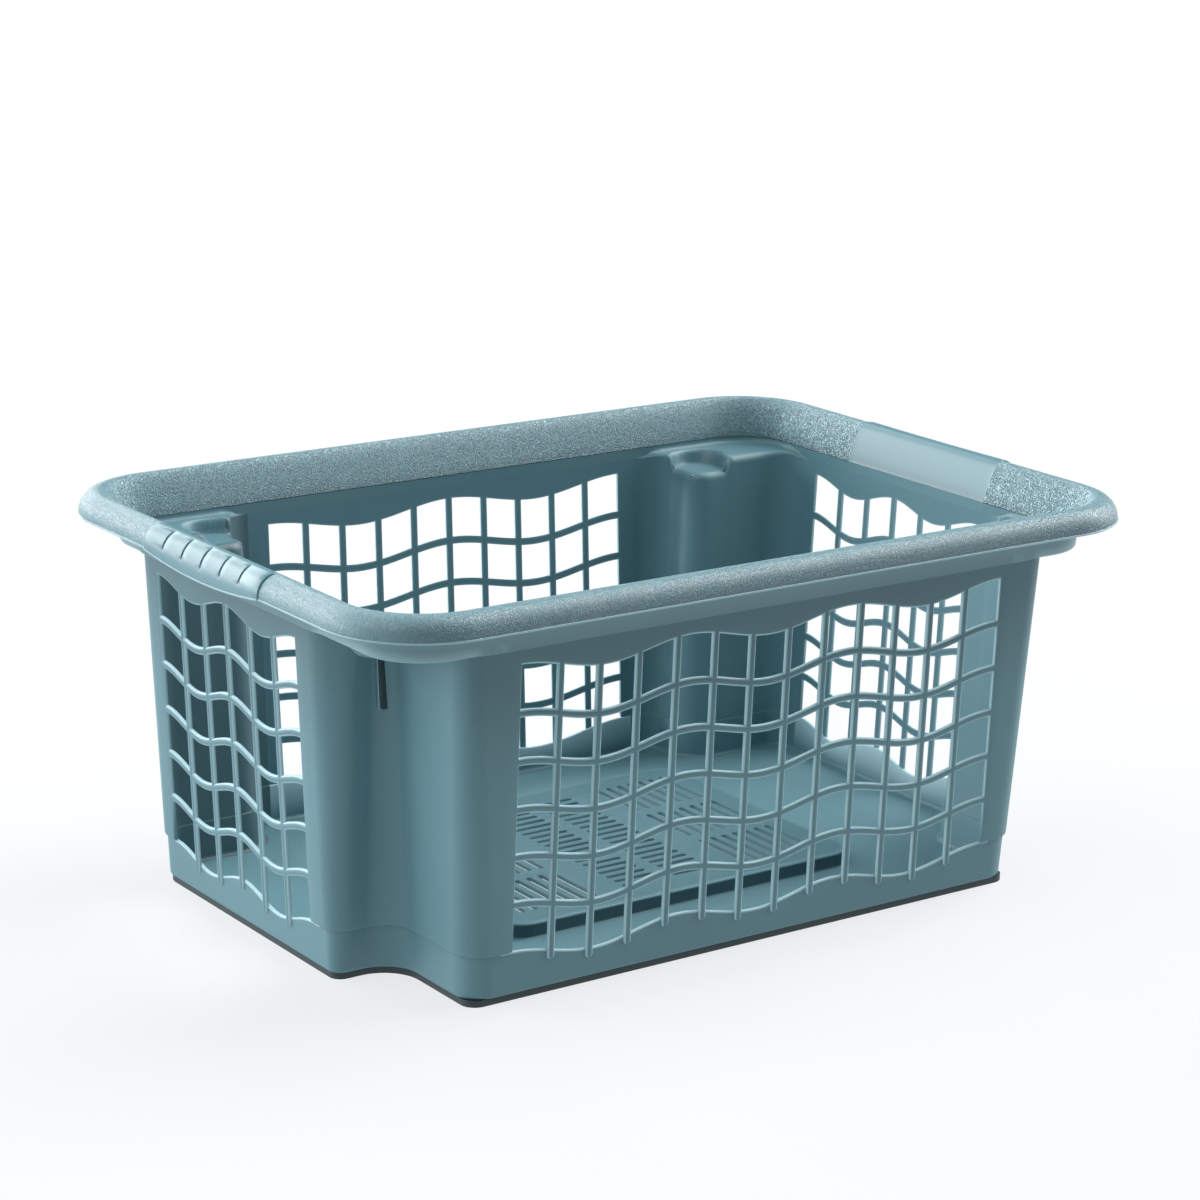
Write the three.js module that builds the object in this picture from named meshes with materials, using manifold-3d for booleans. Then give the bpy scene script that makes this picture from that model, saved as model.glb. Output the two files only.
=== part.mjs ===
// Turn-to-stack laundry basket with wavy open walls, in millimetres.
// The origin is the centre of the base, +X runs along the long side, -Y is the wall with the wide
// opening and +Z is up. The real basket is one moulding: each mesh here is one region of it, and
// the regions meet on flat faces.

import * as THREE from "three";
import { mergeVertices } from "three/addons/utils/BufferGeometryUtils.js";
import Module from "manifold-3d";

const wasm = await Module();
wasm.setup();

// Overall body, measured at the base before the walls lean out
const baseLength = 510.8;
const baseWidth = 353.3;
const draftAngle = 2.7;
const wall = 2.4;
const seatGap = 0.3;

// Heights
const footHeight = 4;
const floorThickness = 2.25;
const skirtTop = 32;
const ledgeTop = 224;
const ledgeThickness = 2.5;
const rimCrest = 255;
const lipBottom = 240;

// Lower band and foot
const skirtStep = 1.8;
const skirtStripTop = 15;
const footInset = 3;
const footWidth = 5;

// Corner recesses: each takes a long bite from one wall and a shallow bite from the other
const recessDepth = 43;
const recessLength = 83;
const hollowRadius = 22;
const frontNoseRadius = 13;
const frontHeelRadius = 11;
const rearNoseRadius = 15;
const rearHeelRadius = 16;
const cornerRadius = 28;

// Flat strip of column between its rounding and the open panel
const frontFlat = 10;
const rearFlat = 7.5;
const endFrontFlat = 6.75;
const endRearFlat = 6.75;

// Openings: a grid of straight uprights and wavy cross bars, with a plain frame at each end
const openingTop = 207.5;
const crossBarPitch = 30;
const crossBars = 5;
const uprightWidth = 5;
const crossBarWidth = 5;
const waveHeight = 4.6;
const frontGrid = { columns: 13, waves: 3 };
const rearGrid = { columns: 10, waves: 2 };
const endGrid = { columns: 6, waves: 2 };
const longFrame = 7.5;
const endFrameFront = 8.2;
const endFrameRear = 2.4;
const footOverlap = 6;

// Stacking scoops: pockets in the ledges that take the base corners of the basket above. Places are
// measured from the inner corner of each recess, and the first radius points to the rim's corner.
const scoopAcross = 20.25;
const scoopAlong = 18.5;
const scoopTopRadii = [29.5, 22.5];
const scoopFloorRadii = [24.5, 18];
const scoopDepth = 12.5;
const scoopWall = 2.25;

// Ribs under the scoops
const ribNear = 7;
const ribFar = 18.5;
const ribAlong = 10.75;
const ribThickness = 3.5;
const ribBottom = 170;

// Rim: offsets are outward from the leaning wall's outer face. The flare's shape is given as
// shares of its width and height.
const rimOverhang = 25;
const rimWall = 2.4;
const flareStart = 228;
const crestOffset = 11.3;
const flareShape = [
  [0, 0],
  [0.15, 0.26],
  [0.52, 0.75],
  [0.77, 0.955],
];

// Hand grips in the end rims
const gripLength = 146;
const gripProud = 1;
const gripBelly = 6;
const grooveCount = 5;
const groovePitch = 24;
const grooveWidth = 3;
const grooveDepth = 1.2;

// Raised floor panel with vent slots
const panelLength = 272;
const panelWidth = 214;
const panelTop = 15.75;
const panelThickness = 2.5;
const panelCornerRadius = 18;
const riserWall = 2.5;
const riserSeat = 3;

// Vent slots, in plain fields
const slotWidth = 4;
const slotPitch = 9;
const slotMargin = 20;
const slotRowGap = 10;
const outerSlots = 7;
const middleSlotLength = 30;

// Worked-out values
const halfLength = baseLength / 2;
const halfWidth = baseWidth / 2;
const lean = Math.tan((draftAngle * Math.PI) / 180);
const floorTop = footHeight + floorThickness;
const ledgeBottom = ledgeTop - ledgeThickness;
const waveFloor = skirtTop - waveHeight;
const frontPanelEnd = halfLength - recessDepth - frontNoseRadius - frontFlat;
const rearPanelEnd = halfLength - recessLength - rearNoseRadius - rearFlat;
const endPanelFront = endFrontFlat - (halfWidth - recessLength - frontHeelRadius);
const endPanelRear = halfWidth - recessDepth - rearHeelRadius - endRearFlat;
const arcSteps = 6;

const plastic = new THREE.MeshStandardMaterial({ color: 0x5f8791, roughness: 0.5, metalness: 0 });
const gripPlastic = new THREE.MeshStandardMaterial({ color: 0x7ba3aa, roughness: 0.35, metalness: 0 });

// Solids from loops and boolean steps

function closedGeometry(positions, indices) {
  const geometry = new THREE.BufferGeometry();
  geometry.setAttribute("position", new THREE.Float32BufferAttribute(positions, 3));
  geometry.setIndex(indices);
  return faceOutward(geometry);
}

function signedVolume(geometry) {
  const p = geometry.attributes.position;
  const index = geometry.index;
  const a = new THREE.Vector3();
  const b = new THREE.Vector3();
  const c = new THREE.Vector3();
  let volume = 0;
  for (let i = 0; i < index.count; i += 3) {
    a.fromBufferAttribute(p, index.getX(i));
    b.fromBufferAttribute(p, index.getX(i + 1));
    c.fromBufferAttribute(p, index.getX(i + 2));
    volume += a.dot(b.cross(c)) / 6;
  }
  return volume;
}

function faceOutward(geometry) {
  if (signedVolume(geometry) > 0) return geometry;
  const index = geometry.index.array;
  for (let i = 0; i < index.length; i += 3) {
    const first = index[i];
    index[i] = index[i + 1];
    index[i + 1] = first;
  }
  return geometry;
}

// Joins closed loops of equal length, given as lists of [x, y, z], into a capped solid
function loft(loops, capPoints) {
  const count = loops[0].length;
  const positions = loops.flat(2);
  const indices = [];
  for (let level = 0; level + 1 < loops.length; level += 1) {
    for (let i = 0; i < count; i += 1) {
      const next = (i + 1) % count;
      const a = level * count + i;
      const b = level * count + next;
      const c = a + count;
      const d = b + count;
      indices.push(a, b, d, a, d, c);
    }
  }
  const ends = [0, loops.length - 1];
  ends.forEach((level) => {
    const flat = loops[level].map(capPoints);
    const faces = THREE.ShapeUtils.triangulateShape(flat, []);
    const turned = THREE.ShapeUtils.isClockWise(flat) === (level === 0);
    faces.forEach(([i, j, k]) => {
      const face = turned ? [i, j, k] : [i, k, j];
      indices.push(...face.map((v) => v + level * count));
    });
  });
  return closedGeometry(positions, indices);
}

function planPoint([x, y]) {
  return new THREE.Vector2(x, y);
}

function atHeight(path, z) {
  return path.map(([x, y]) => [x, y, z]);
}

function toSolid(geometry) {
  const bare = geometry.clone();
  bare.deleteAttribute("normal");
  bare.deleteAttribute("uv");
  const merged = mergeVertices(bare, 1e-5);
  const mesh = new wasm.Mesh({
    numProp: 3,
    vertProperties: new Float32Array(merged.attributes.position.array),
    triVerts: new Uint32Array(merged.index.array),
  });
  return new wasm.Manifold(mesh);
}

function toGeometry(solid) {
  const mesh = solid.getMesh();
  return closedGeometry(Array.from(mesh.vertProperties), Array.from(mesh.triVerts));
}

// Plan outlines. Paths are written for the corner with positive x and y, run from the long wall to
// the end wall, and are mirrored into the other corners. offset moves every face outwards.

function arc(centreX, centreY, radius, from, to, steps = arcSteps) {
  return Array.from({ length: steps + 1 }, (_, i) => {
    const angle = THREE.MathUtils.degToRad(from + ((to - from) * i) / steps);
    return [centreX + radius * Math.cos(angle), centreY + radius * Math.sin(angle)];
  });
}

function recessPath(corner, offset) {
  const { noseRadius, heelRadius } = corner;
  const sideX = halfLength - corner.biteX;
  const sideY = halfWidth - corner.biteY;
  return [
    [corner.panelX, halfWidth + offset],
    ...arc(sideX - noseRadius, halfWidth - noseRadius, noseRadius + offset, 90, 0),
    ...arc(sideX + hollowRadius, sideY + hollowRadius, hollowRadius - offset, 180, 270),
    ...arc(halfLength - heelRadius, sideY - heelRadius, heelRadius + offset, 90, 0),
    [halfLength + offset, corner.panelY],
  ];
}

function fullCornerPath(corner, offset) {
  const x = halfLength - cornerRadius;
  const y = halfWidth - cornerRadius;
  return [
    [corner.panelX, halfWidth + offset],
    ...arc(x, y, cornerRadius + offset, 90, 0),
    [halfLength + offset, corner.panelY],
  ];
}

function mirrored(path, corner) {
  return path.map(([x, y, ...rest]) => [x * corner.sideX, y * corner.sideY, ...rest]);
}

function offsetAt(z, step = 0) {
  return lean * z - step;
}

const frontCorner = {
  sideY: -1,
  biteX: recessDepth,
  biteY: recessLength,
  noseRadius: frontNoseRadius,
  heelRadius: frontHeelRadius,
  panelX: frontPanelEnd,
  panelY: -endPanelFront,
};

const rearCorner = {
  sideY: 1,
  biteX: recessLength,
  biteY: recessDepth,
  noseRadius: rearNoseRadius,
  heelRadius: rearHeelRadius,
  panelX: rearPanelEnd,
  panelY: endPanelRear,
};

const corners = [
  { ...frontCorner, sideX: -1, name: "front_left" },
  { ...frontCorner, sideX: 1, name: "front_right" },
  { ...rearCorner, sideX: -1, name: "rear_left" },
  { ...rearCorner, sideX: 1, name: "rear_right" },
];

// The whole outline with its four recesses, counterclockwise
function basketOutline(offset) {
  const [frontLeft, frontRight, rearLeft, rearRight] = corners.map((corner) =>
    mirrored(recessPath(corner, offset).slice(1, -1), corner),
  );
  return [...frontLeft.reverse(), ...frontRight, ...rearRight.reverse(), ...rearLeft];
}

// Corner columns, ledges, scoops and ribs

function wallLoop(corner, z, step) {
  const outer = recessPath(corner, offsetAt(z, step));
  const inner = recessPath(corner, offsetAt(z, step) - wall);
  return atHeight(mirrored([...outer, ...inner.reverse()], corner), z);
}

// A point in a recess, from its inner corner: across its shallow side and along its long side
function recessPoint(corner, across, along) {
  const x = halfLength - corner.biteX;
  const y = halfWidth - corner.biteY;
  const shallowAlongX = corner.biteX < corner.biteY;
  const local = shallowAlongX ? [x + across, y + along] : [x + along, y + across];
  return mirrored([local], corner)[0];
}

function scoopLoop(corner, z, [towardsCorner, sideRadius]) {
  const steps = 20;
  return Array.from({ length: steps }, (_, i) => {
    const angle = (2 * Math.PI * i) / steps;
    const toCorner = towardsCorner * Math.cos(angle) * Math.SQRT1_2;
    const toSide = sideRadius * Math.sin(angle) * Math.SQRT1_2;
    const place = [scoopAcross + toCorner - toSide, scoopAlong + toCorner + toSide];
    return [...recessPoint(corner, ...place), z];
  });
}

function widened(radii, extra) {
  return radii.map((radius) => radius + extra);
}

function scoopHollow(corner) {
  const low = scoopLoop(corner, ledgeTop - scoopDepth, scoopFloorRadii);
  const high = scoopLoop(corner, ledgeTop, scoopTopRadii);
  const above = scoopLoop(corner, ledgeTop + 1, scoopTopRadii);
  return toSolid(loft([low, high, above], planPoint));
}

// Everything inside the column's outer face, used to trim what seats against the column
function columnInside(corner) {
  const loops = [skirtTop, ledgeTop].map((z) => {
    const path = recessPath(corner, offsetAt(z) + seatGap);
    return atHeight(mirrored([...path, [corner.panelX, corner.panelY]], corner), z);
  });
  return toSolid(loft(loops, planPoint));
}

function cornerColumn(corner) {
  const loops = [
    wallLoop(corner, floorTop, skirtStep),
    wallLoop(corner, skirtTop, skirtStep),
    wallLoop(corner, skirtTop, 0),
    wallLoop(corner, ledgeBottom, 0),
  ];
  return toGeometry(toSolid(loft(loops, planPoint)).subtract(scoopHollow(corner)));
}

// The part of a corner inside an outline, between two heights
function cornerBlock(corner, outline, low, high) {
  const loops = [low, high].map((z) => {
    const path = [...outline(corner, offsetAt(z) - wall), [corner.panelX, corner.panelY]];
    return atHeight(mirrored(path, corner), z);
  });
  return toSolid(loft(loops, planPoint));
}

// The ledge fills the corner between the top of its column and the foot of the rim
function ledge(corner) {
  const insideRim = (place, offset) => fullCornerPath(place, offset - seatGap);
  const plate = cornerBlock(corner, insideRim, ledgeBottom, ledgeTop);
  const well = cornerBlock(corner, recessPath, ledgeBottom - 1, ledgeTop + 1);
  return toGeometry(plate.subtract(well).subtract(scoopHollow(corner)));
}

function scoop(corner) {
  const bottom = ledgeTop - scoopDepth - scoopWall;
  const low = scoopLoop(corner, bottom, widened(scoopFloorRadii, scoopWall));
  const high = scoopLoop(corner, ledgeBottom, widened(scoopTopRadii, scoopWall));
  const shell = toSolid(loft([low, high], planPoint));
  return toGeometry(shell.subtract(scoopHollow(corner)).subtract(columnInside(corner)));
}

function ribOutline() {
  const top = ledgeTop - scoopDepth - scoopWall;
  const radius = (ribFar - ribNear) / 3;
  return [
    [ribNear, ribBottom],
    ...arc(ribFar - radius, ribBottom + radius, radius, -90, 0, 4),
    [ribFar, top],
    [ribNear, top],
  ];
}

function rib(corner) {
  const sides = [ribAlong, ribAlong + ribThickness].map((along) =>
    ribOutline().map(([across, z]) => [...recessPoint(corner, across, along), z]),
  );
  const capAxis = corner.biteX < corner.biteY ? 0 : 1;
  const plate = loft(sides, (point) => new THREE.Vector2(point[capAxis], point[2]));
  return toGeometry(toSolid(plate).subtract(columnInside(corner)));
}

// Open wall panels. Each is drawn flat as (along the wall, height) and then leant outwards.

function longWall(grid, end, side) {
  return { ...grid, low: -end, high: end, lowFrame: longFrame, highFrame: longFrame, side, alongX: true };
}

function endWall(side) {
  const span = { low: endPanelFront, high: endPanelRear };
  return { ...endGrid, ...span, lowFrame: endFrameFront, highFrame: endFrameRear, side, alongX: false };
}

const walls = {
  front: longWall(frontGrid, frontPanelEnd, -1),
  rear: longWall(rearGrid, rearPanelEnd, 1),
  left: endWall(-1),
  right: endWall(1),
};

function onWall(panel, along, offset, z) {
  const out = offsetAt(z) + offset;
  if (panel.alongX) return [along, panel.side * (halfWidth + out), z];
  return [panel.side * (halfLength + out), along, z];
}

function panelSolid(shape, panel, innerOffset) {
  const slab = new THREE.ExtrudeGeometry(shape, { depth: wall, bevelEnabled: false });
  slab.deleteAttribute("normal");
  slab.deleteAttribute("uv");
  const merged = mergeVertices(slab, 1e-5);
  const p = merged.attributes.position;
  for (let i = 0; i < p.count; i += 1) {
    p.setXYZ(i, ...onWall(panel, p.getX(i), innerOffset + p.getZ(i), p.getY(i)));
  }
  return toSolid(faceOutward(merged));
}

function gridLines(panel) {
  const start = panel.low + panel.lowFrame;
  const end = panel.high - panel.highFrame;
  const turns = (along) => (panel.waves * (along - start)) / (end - start);
  const wave = (along) => waveHeight * Math.cos(2 * Math.PI * turns(along));
  return { start, end, pitch: (end - start) / panel.columns, wave };
}

// Points of one wavy edge between two places along the wall
function wavyEdge(from, to, level, wave, steps = 3) {
  return Array.from({ length: steps + 1 }, (_, i) => {
    const along = from + ((to - from) * i) / steps;
    return [along, level + wave(along)];
  });
}

function cellSpan(panel, grid, column) {
  const from = grid.start + column * grid.pitch + (column === 0 ? 0 : uprightWidth / 2);
  const last = column === panel.columns - 1;
  const to = grid.start + (column + 1) * grid.pitch - (last ? 0 : uprightWidth / 2);
  return [from, to];
}

function cellHole(panel, grid, column, row) {
  const [from, to] = cellSpan(panel, grid, column);
  const topLevel = openingTop - row * crossBarPitch - (row === 0 ? 0 : crossBarWidth / 2);
  const bottomLevel = openingTop - (row + 1) * crossBarPitch + crossBarWidth / 2;
  const bottom = wavyEdge(from, to, bottomLevel, grid.wave);
  const top = wavyEdge(from, to, topLevel, grid.wave).reverse();
  return new THREE.Path([...bottom, ...top].map(planPoint));
}

// The lower edge of the net: it follows the lowest cross bar, and each upright runs down to a
// rounded foot on the face of the lower band
function combEdge(panel, grid) {
  const level = openingTop - crossBars * crossBarPitch - crossBarWidth / 2;
  const points = [[grid.start, skirtTop]];
  for (let column = 0; column < panel.columns; column += 1) {
    const [from, to] = cellSpan(panel, grid, column);
    points.push(...wavyEdge(from, to, level, grid.wave));
    if (column < panel.columns - 1) {
      const centre = grid.start + (column + 1) * grid.pitch;
      const foot = waveFloor + grid.wave(centre) - footOverlap + uprightWidth / 2;
      points.push(...arc(centre, foot, uprightWidth / 2, 180, 360, 4));
    }
  }
  points.push([grid.end, skirtTop]);
  return points;
}

function grille(panel) {
  const grid = gridLines(panel);
  const net = new THREE.Shape(
    [
      [panel.low, skirtTop],
      ...combEdge(panel, grid),
      [panel.high, skirtTop],
      [panel.high, ledgeBottom],
      [panel.low, ledgeBottom],
    ].map(planPoint),
  );
  for (let row = 0; row < crossBars; row += 1) {
    for (let column = 0; column < panel.columns; column += 1) {
      net.holes.push(cellHole(panel, grid, column, row));
    }
  }
  const waveSteps = panel.columns * 3;
  const strip = new THREE.Shape(
    [
      [panel.low, skirtStripTop],
      [panel.high, skirtStripTop],
      [panel.high, skirtTop],
      ...wavyEdge(grid.end, grid.start, waveFloor, grid.wave, waveSteps),
      [panel.low, skirtTop],
    ].map(planPoint),
  );
  const netSolid = panelSolid(net, panel, -wall);
  const stripSolid = panelSolid(strip, panel, -wall - skirtStep);
  return toGeometry(netSolid.add(stripSolid));
}

function skirt(panel) {
  const corners2d = [
    [panel.low, floorTop],
    [panel.high, floorTop],
    [panel.high, skirtStripTop],
    [panel.low, skirtStripTop],
  ];
  return toGeometry(panelSolid(new THREE.Shape(corners2d.map(planPoint)), panel, -wall - skirtStep));
}

// Rim: one hooked profile swept round the mouth. Each profile point is [offset, height].

function flarePoints() {
  const width = crestOffset + wall;
  const height = rimCrest - flareStart;
  const flare = flareShape.map(([out, up]) => [out * width - wall, flareStart + up * height]);
  return [[-wall, ledgeBottom], ...flare];
}

function hookPoints() {
  const steps = 5;
  return Array.from({ length: steps + 1 }, (_, i) => {
    const angle = (Math.PI / 2) * (1 - i / steps);
    const out = crestOffset + (rimOverhang - crestOffset) * Math.cos(angle);
    return [out, lipBottom + (rimCrest - lipBottom) * Math.sin(angle)];
  });
}

// The underside of the rim: every point of its face moved square to the face by the rim's wall
function underside(face) {
  return face.map((point, i) => {
    const before = face[Math.max(i - 1, 0)];
    const after = face[Math.min(i + 1, face.length - 1)];
    const run = Math.hypot(after[0] - before[0], after[1] - before[1]);
    const out = (rimWall * (after[1] - before[1])) / run;
    const down = (rimWall * (after[0] - before[0])) / run;
    const level = i === 0 || i === face.length - 1;
    return [point[0] + out, level ? point[1] : point[1] - down];
  });
}

function rimLoop(face, place) {
  const points = [...face, ...underside(face).reverse()];
  return points.map(([offset, z]) => [...place(offsetAt(z) + offset), z]);
}

function straightPlace(panel, along) {
  if (panel.alongX) return (out) => [along, panel.side * (halfWidth + out)];
  return (out) => [panel.side * (halfLength + out), along];
}

function rimAlong(panel) {
  const face = [...flarePoints(), ...hookPoints()];
  const loops = [panel.low, panel.high].map((along) => rimLoop(face, straightPlace(panel, along)));
  const axis = panel.alongX ? 1 : 0;
  return loft(loops, (point) => new THREE.Vector2(point[axis], point[2]));
}

function rimCorner(corner) {
  const face = [...flarePoints(), ...hookPoints()];
  const centreX = halfLength - cornerRadius;
  const centreY = halfWidth - cornerRadius;
  const steps = 9;
  const places = [(out) => [corner.panelX, halfWidth + out]];
  for (let i = 0; i <= steps; i += 1) {
    const angle = THREE.MathUtils.degToRad(90 - (90 * i) / steps);
    places.push((out) => [
      centreX + (cornerRadius + out) * Math.cos(angle),
      centreY + (cornerRadius + out) * Math.sin(angle),
    ]);
  }
  places.push((out) => [halfLength + out, gripLength / 2]);
  const loops = places.map((place) => mirrored(rimLoop(face, place), corner));
  const cap = loops.map((loop, i) => {
    const axis = i === 0 ? 1 : 0;
    return loop.map((point) => new THREE.Vector2(point[axis], point[2]));
  });
  return loftWithCaps(loops, cap[0], cap[cap.length - 1]);
}

// A loft whose two end faces lie in different planes
function loftWithCaps(loops, firstCap, lastCap) {
  const first = new Map(loops[0].map((point, i) => [point, firstCap[i]]));
  const last = new Map(loops[loops.length - 1].map((point, i) => [point, lastCap[i]]));
  return loft(loops, (point) => first.get(point) ?? last.get(point));
}

// The grip stands a little proud of the rim, its lip sags in the middle, and finger grooves cross it
function gripStations() {
  const half = gripLength / 2;
  const stations = [{ along: -half, groove: 0 }];
  const first = -((grooveCount - 1) * groovePitch) / 2;
  for (let i = 0; i < grooveCount; i += 1) {
    const centre = first + i * groovePitch;
    stations.push({ along: centre - grooveWidth / 2, groove: 0 });
    stations.push({ along: centre, groove: 1 });
    stations.push({ along: centre + grooveWidth / 2, groove: 0 });
    if (i < grooveCount - 1) stations.push({ along: centre + groovePitch / 2, groove: 0 });
  }
  stations.push({ along: half, groove: 0 });
  return stations;
}

function gripFace(station) {
  const sag = gripBelly * (1 - (station.along / (gripLength / 2)) ** 2);
  const raised = gripProud - grooveDepth * station.groove;
  const hook = hookPoints().map(([offset, z]) => {
    const out = (offset - crestOffset) / (rimOverhang - crestOffset);
    const drop = (sag * (rimCrest - z)) / (rimCrest - lipBottom);
    return [offset + raised * out, z - drop + raised * (1 - out)];
  });
  return [...flarePoints(), ...hook];
}

function grip(panel) {
  const loops = gripStations().map((station) =>
    rimLoop(gripFace(station), straightPlace(panel, station.along)),
  );
  return loft(loops, (point) => new THREE.Vector2(point[0], point[2]));
}

// Floor and foot

function extruded(outline, holes, height) {
  const shape = new THREE.Shape(outline.map(planPoint));
  shape.holes = holes.map((hole) => new THREE.Path(hole.map(planPoint)));
  return new THREE.ExtrudeGeometry(shape, { depth: height, bevelEnabled: false });
}

function roundedRectangle(length, width, radius) {
  const x = length / 2 - radius;
  const y = width / 2 - radius;
  return [
    ...arc(x, y, radius, 0, 90),
    ...arc(-x, y, radius, 90, 180),
    ...arc(-x, -y, radius, 180, 270),
    ...arc(x, -y, radius, 270, 360),
  ];
}

function panelOutline(inset) {
  return roundedRectangle(panelLength - 2 * inset, panelWidth - 2 * inset, panelCornerRadius - inset);
}

function slot(centreX, centreY, length, alongX) {
  const radius = slotWidth / 2;
  const reach = length / 2 - radius;
  const start = alongX ? 0 : 90;
  const shift = alongX ? [reach, 0] : [0, reach];
  return [
    ...arc(centreX + shift[0], centreY + shift[1], radius, start - 90, start + 90, 3),
    ...arc(centreX - shift[0], centreY - shift[1], radius, start + 90, start + 270, 3),
  ];
}

// Three plain fields of slots: the outer two run across the basket, the middle one runs along it
function outerField(side) {
  const rows = 3;
  const length = (panelWidth - 2 * slotMargin - (rows - 1) * slotRowGap) / rows;
  const firstX = panelLength / 2 - slotMargin - slotWidth / 2;
  const firstY = -panelWidth / 2 + slotMargin + length / 2;
  return Array.from({ length: outerSlots * rows }, (_, i) => {
    const x = firstX - (i % outerSlots) * slotPitch;
    const y = firstY + Math.floor(i / outerSlots) * (length + slotRowGap);
    return slot(side * x, y, length, false);
  });
}

function middleField() {
  const reach = panelWidth / 2 - slotMargin - slotWidth / 2;
  const rows = 2 * Math.floor(reach / slotPitch) + 1;
  const x = (middleSlotLength + slotRowGap) / 2;
  return Array.from({ length: rows }, (_, i) => {
    const y = (i - (rows - 1) / 2) * slotPitch;
    return [slot(-x, y, middleSlotLength, true), slot(x, y, middleSlotLength, true)];
  }).flat();
}

function ventSlots() {
  return [...outerField(-1), ...middleField(), ...outerField(1)];
}

function footRing() {
  const outer = basketOutline(-skirtStep - footInset);
  const inner = basketOutline(-skirtStep - footInset - footWidth);
  return extruded(outer, [inner], footHeight);
}

function floorChannel() {
  const outer = basketOutline(offsetAt(floorTop, skirtStep));
  return extruded(outer, [panelOutline(riserSeat)], floorThickness);
}

function floorRiser() {
  return extruded(panelOutline(0), [panelOutline(riserWall)], panelTop - panelThickness - floorTop);
}

function floorPanel() {
  return extruded(panelOutline(0), ventSlots(), panelThickness);
}

// Assembly

function named(name, geometry, material = plastic, z = 0) {
  const mesh = new THREE.Mesh(geometry, material);
  mesh.name = name;
  mesh.position.z = z;
  return mesh;
}

function floorGroup() {
  const group = new THREE.Group();
  group.add(
    named("foot_ring", footRing()),
    named("floor_channel", floorChannel(), plastic, footHeight),
    named("floor_riser", floorRiser(), plastic, floorTop),
    named("floor_panel", floorPanel(), plastic, panelTop - panelThickness),
  );
  return group;
}

function wallGroup() {
  const group = new THREE.Group();
  Object.entries(walls).forEach(([name, panel]) => {
    group.add(named(`skirt_${name}`, skirt(panel)), named(`grille_${name}`, grille(panel)));
  });
  return group;
}

function cornerGroup(corner) {
  const group = new THREE.Group();
  group.add(
    named(`corner_column_${corner.name}`, cornerColumn(corner)),
    named(`stacking_ledge_${corner.name}`, ledge(corner)),
    named(`ledge_scoop_${corner.name}`, scoop(corner)),
    named(`scoop_rib_${corner.name}`, rib(corner)),
    named(`rim_corner_${corner.name}`, rimCorner(corner)),
  );
  return group;
}

function rimGroup() {
  const group = new THREE.Group();
  group.add(
    named("rim_front", rimAlong(walls.front)),
    named("rim_rear", rimAlong(walls.rear)),
    named("hand_grip_left", grip(walls.left), gripPlastic),
    named("hand_grip_right", grip(walls.right), gripPlastic),
  );
  return group;
}

const laundryBasket = new THREE.Group();
laundryBasket.name = "laundry_basket";
laundryBasket.add(floorGroup(), wallGroup(), ...corners.map(cornerGroup), rimGroup());

export default laundryBasket;
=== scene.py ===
from collections import namedtuple
import math

import bmesh
import bpy
from bpy.props import FloatProperty, FloatVectorProperty, IntProperty, PointerProperty
from mathutils import Matrix, Vector


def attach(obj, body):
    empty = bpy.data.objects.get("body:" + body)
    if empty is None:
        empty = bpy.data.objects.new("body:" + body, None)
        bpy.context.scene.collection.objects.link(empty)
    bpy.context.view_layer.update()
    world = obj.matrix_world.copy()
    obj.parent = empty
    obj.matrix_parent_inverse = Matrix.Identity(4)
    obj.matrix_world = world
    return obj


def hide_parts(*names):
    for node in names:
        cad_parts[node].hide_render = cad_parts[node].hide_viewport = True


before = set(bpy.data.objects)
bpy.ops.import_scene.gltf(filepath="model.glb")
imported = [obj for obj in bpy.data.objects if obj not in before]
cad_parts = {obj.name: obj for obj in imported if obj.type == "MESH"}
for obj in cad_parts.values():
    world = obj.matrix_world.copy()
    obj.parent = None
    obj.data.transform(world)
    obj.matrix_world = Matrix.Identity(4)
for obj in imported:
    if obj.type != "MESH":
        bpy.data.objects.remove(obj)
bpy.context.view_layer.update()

bl_info = {
    "name": "Laundry basket dresser",
    "version": (1, 0, 0),
    "blender": (4, 5, 0),
    "location": "3D View > Sidebar > Basket",
    "description": "Dresses the turn-to-stack laundry basket with its moulded shapes and finishes",
    "category": "Object",
}

CORNER_NAMES = ("front_left", "front_right", "rear_left", "rear_right")
WALL_NAMES = ("front", "rear", "left", "right")


# Sizes and colours

def length(default, description):
    """A size in metres that a user may change."""
    return FloatProperty(default=default, description=description, unit="LENGTH", min=0.0, precision=4)


def count(default, description):
    """A number of like things."""
    return IntProperty(default=default, description=description, min=1)


def colour(default, description):
    """A colour in Blender's linear light."""
    return FloatVectorProperty(default=default, description=description, subtype="COLOR", size=3,
                               min=0.0, max=1.0)


def share(default, description):
    """A strength or roughness without a unit."""
    return FloatProperty(default=default, description=description, min=0.0)


class BasketBody(bpy.types.PropertyGroup):
    """Walls, lower band and floor."""
    base_length: length(0.5108, "Outside length at the ground")
    base_width: length(0.3533, "Outside width at the ground")
    draft: FloatProperty(default=math.radians(2.7), unit="ROTATION",
                         description="Lean of the walls, outwards going up")
    wall: length(0.0024, "Thickness of the walls")
    foot_height: length(0.004, "Height of the foot ring")
    floor_thickness: length(0.00225, "Thickness of the channel floor")
    band_top: length(0.032, "Where the lower band ends on the columns")
    band_step: length(0.0018, "How far the lower band is set in")
    band_round: length(0.0025, "Rounding of the bottom edge")
    floor_fillet: length(0.003, "Hollow between floor and walls")
    shoulder_height: length(0.2215, "Where walls and columns end and the rim begins")


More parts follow.
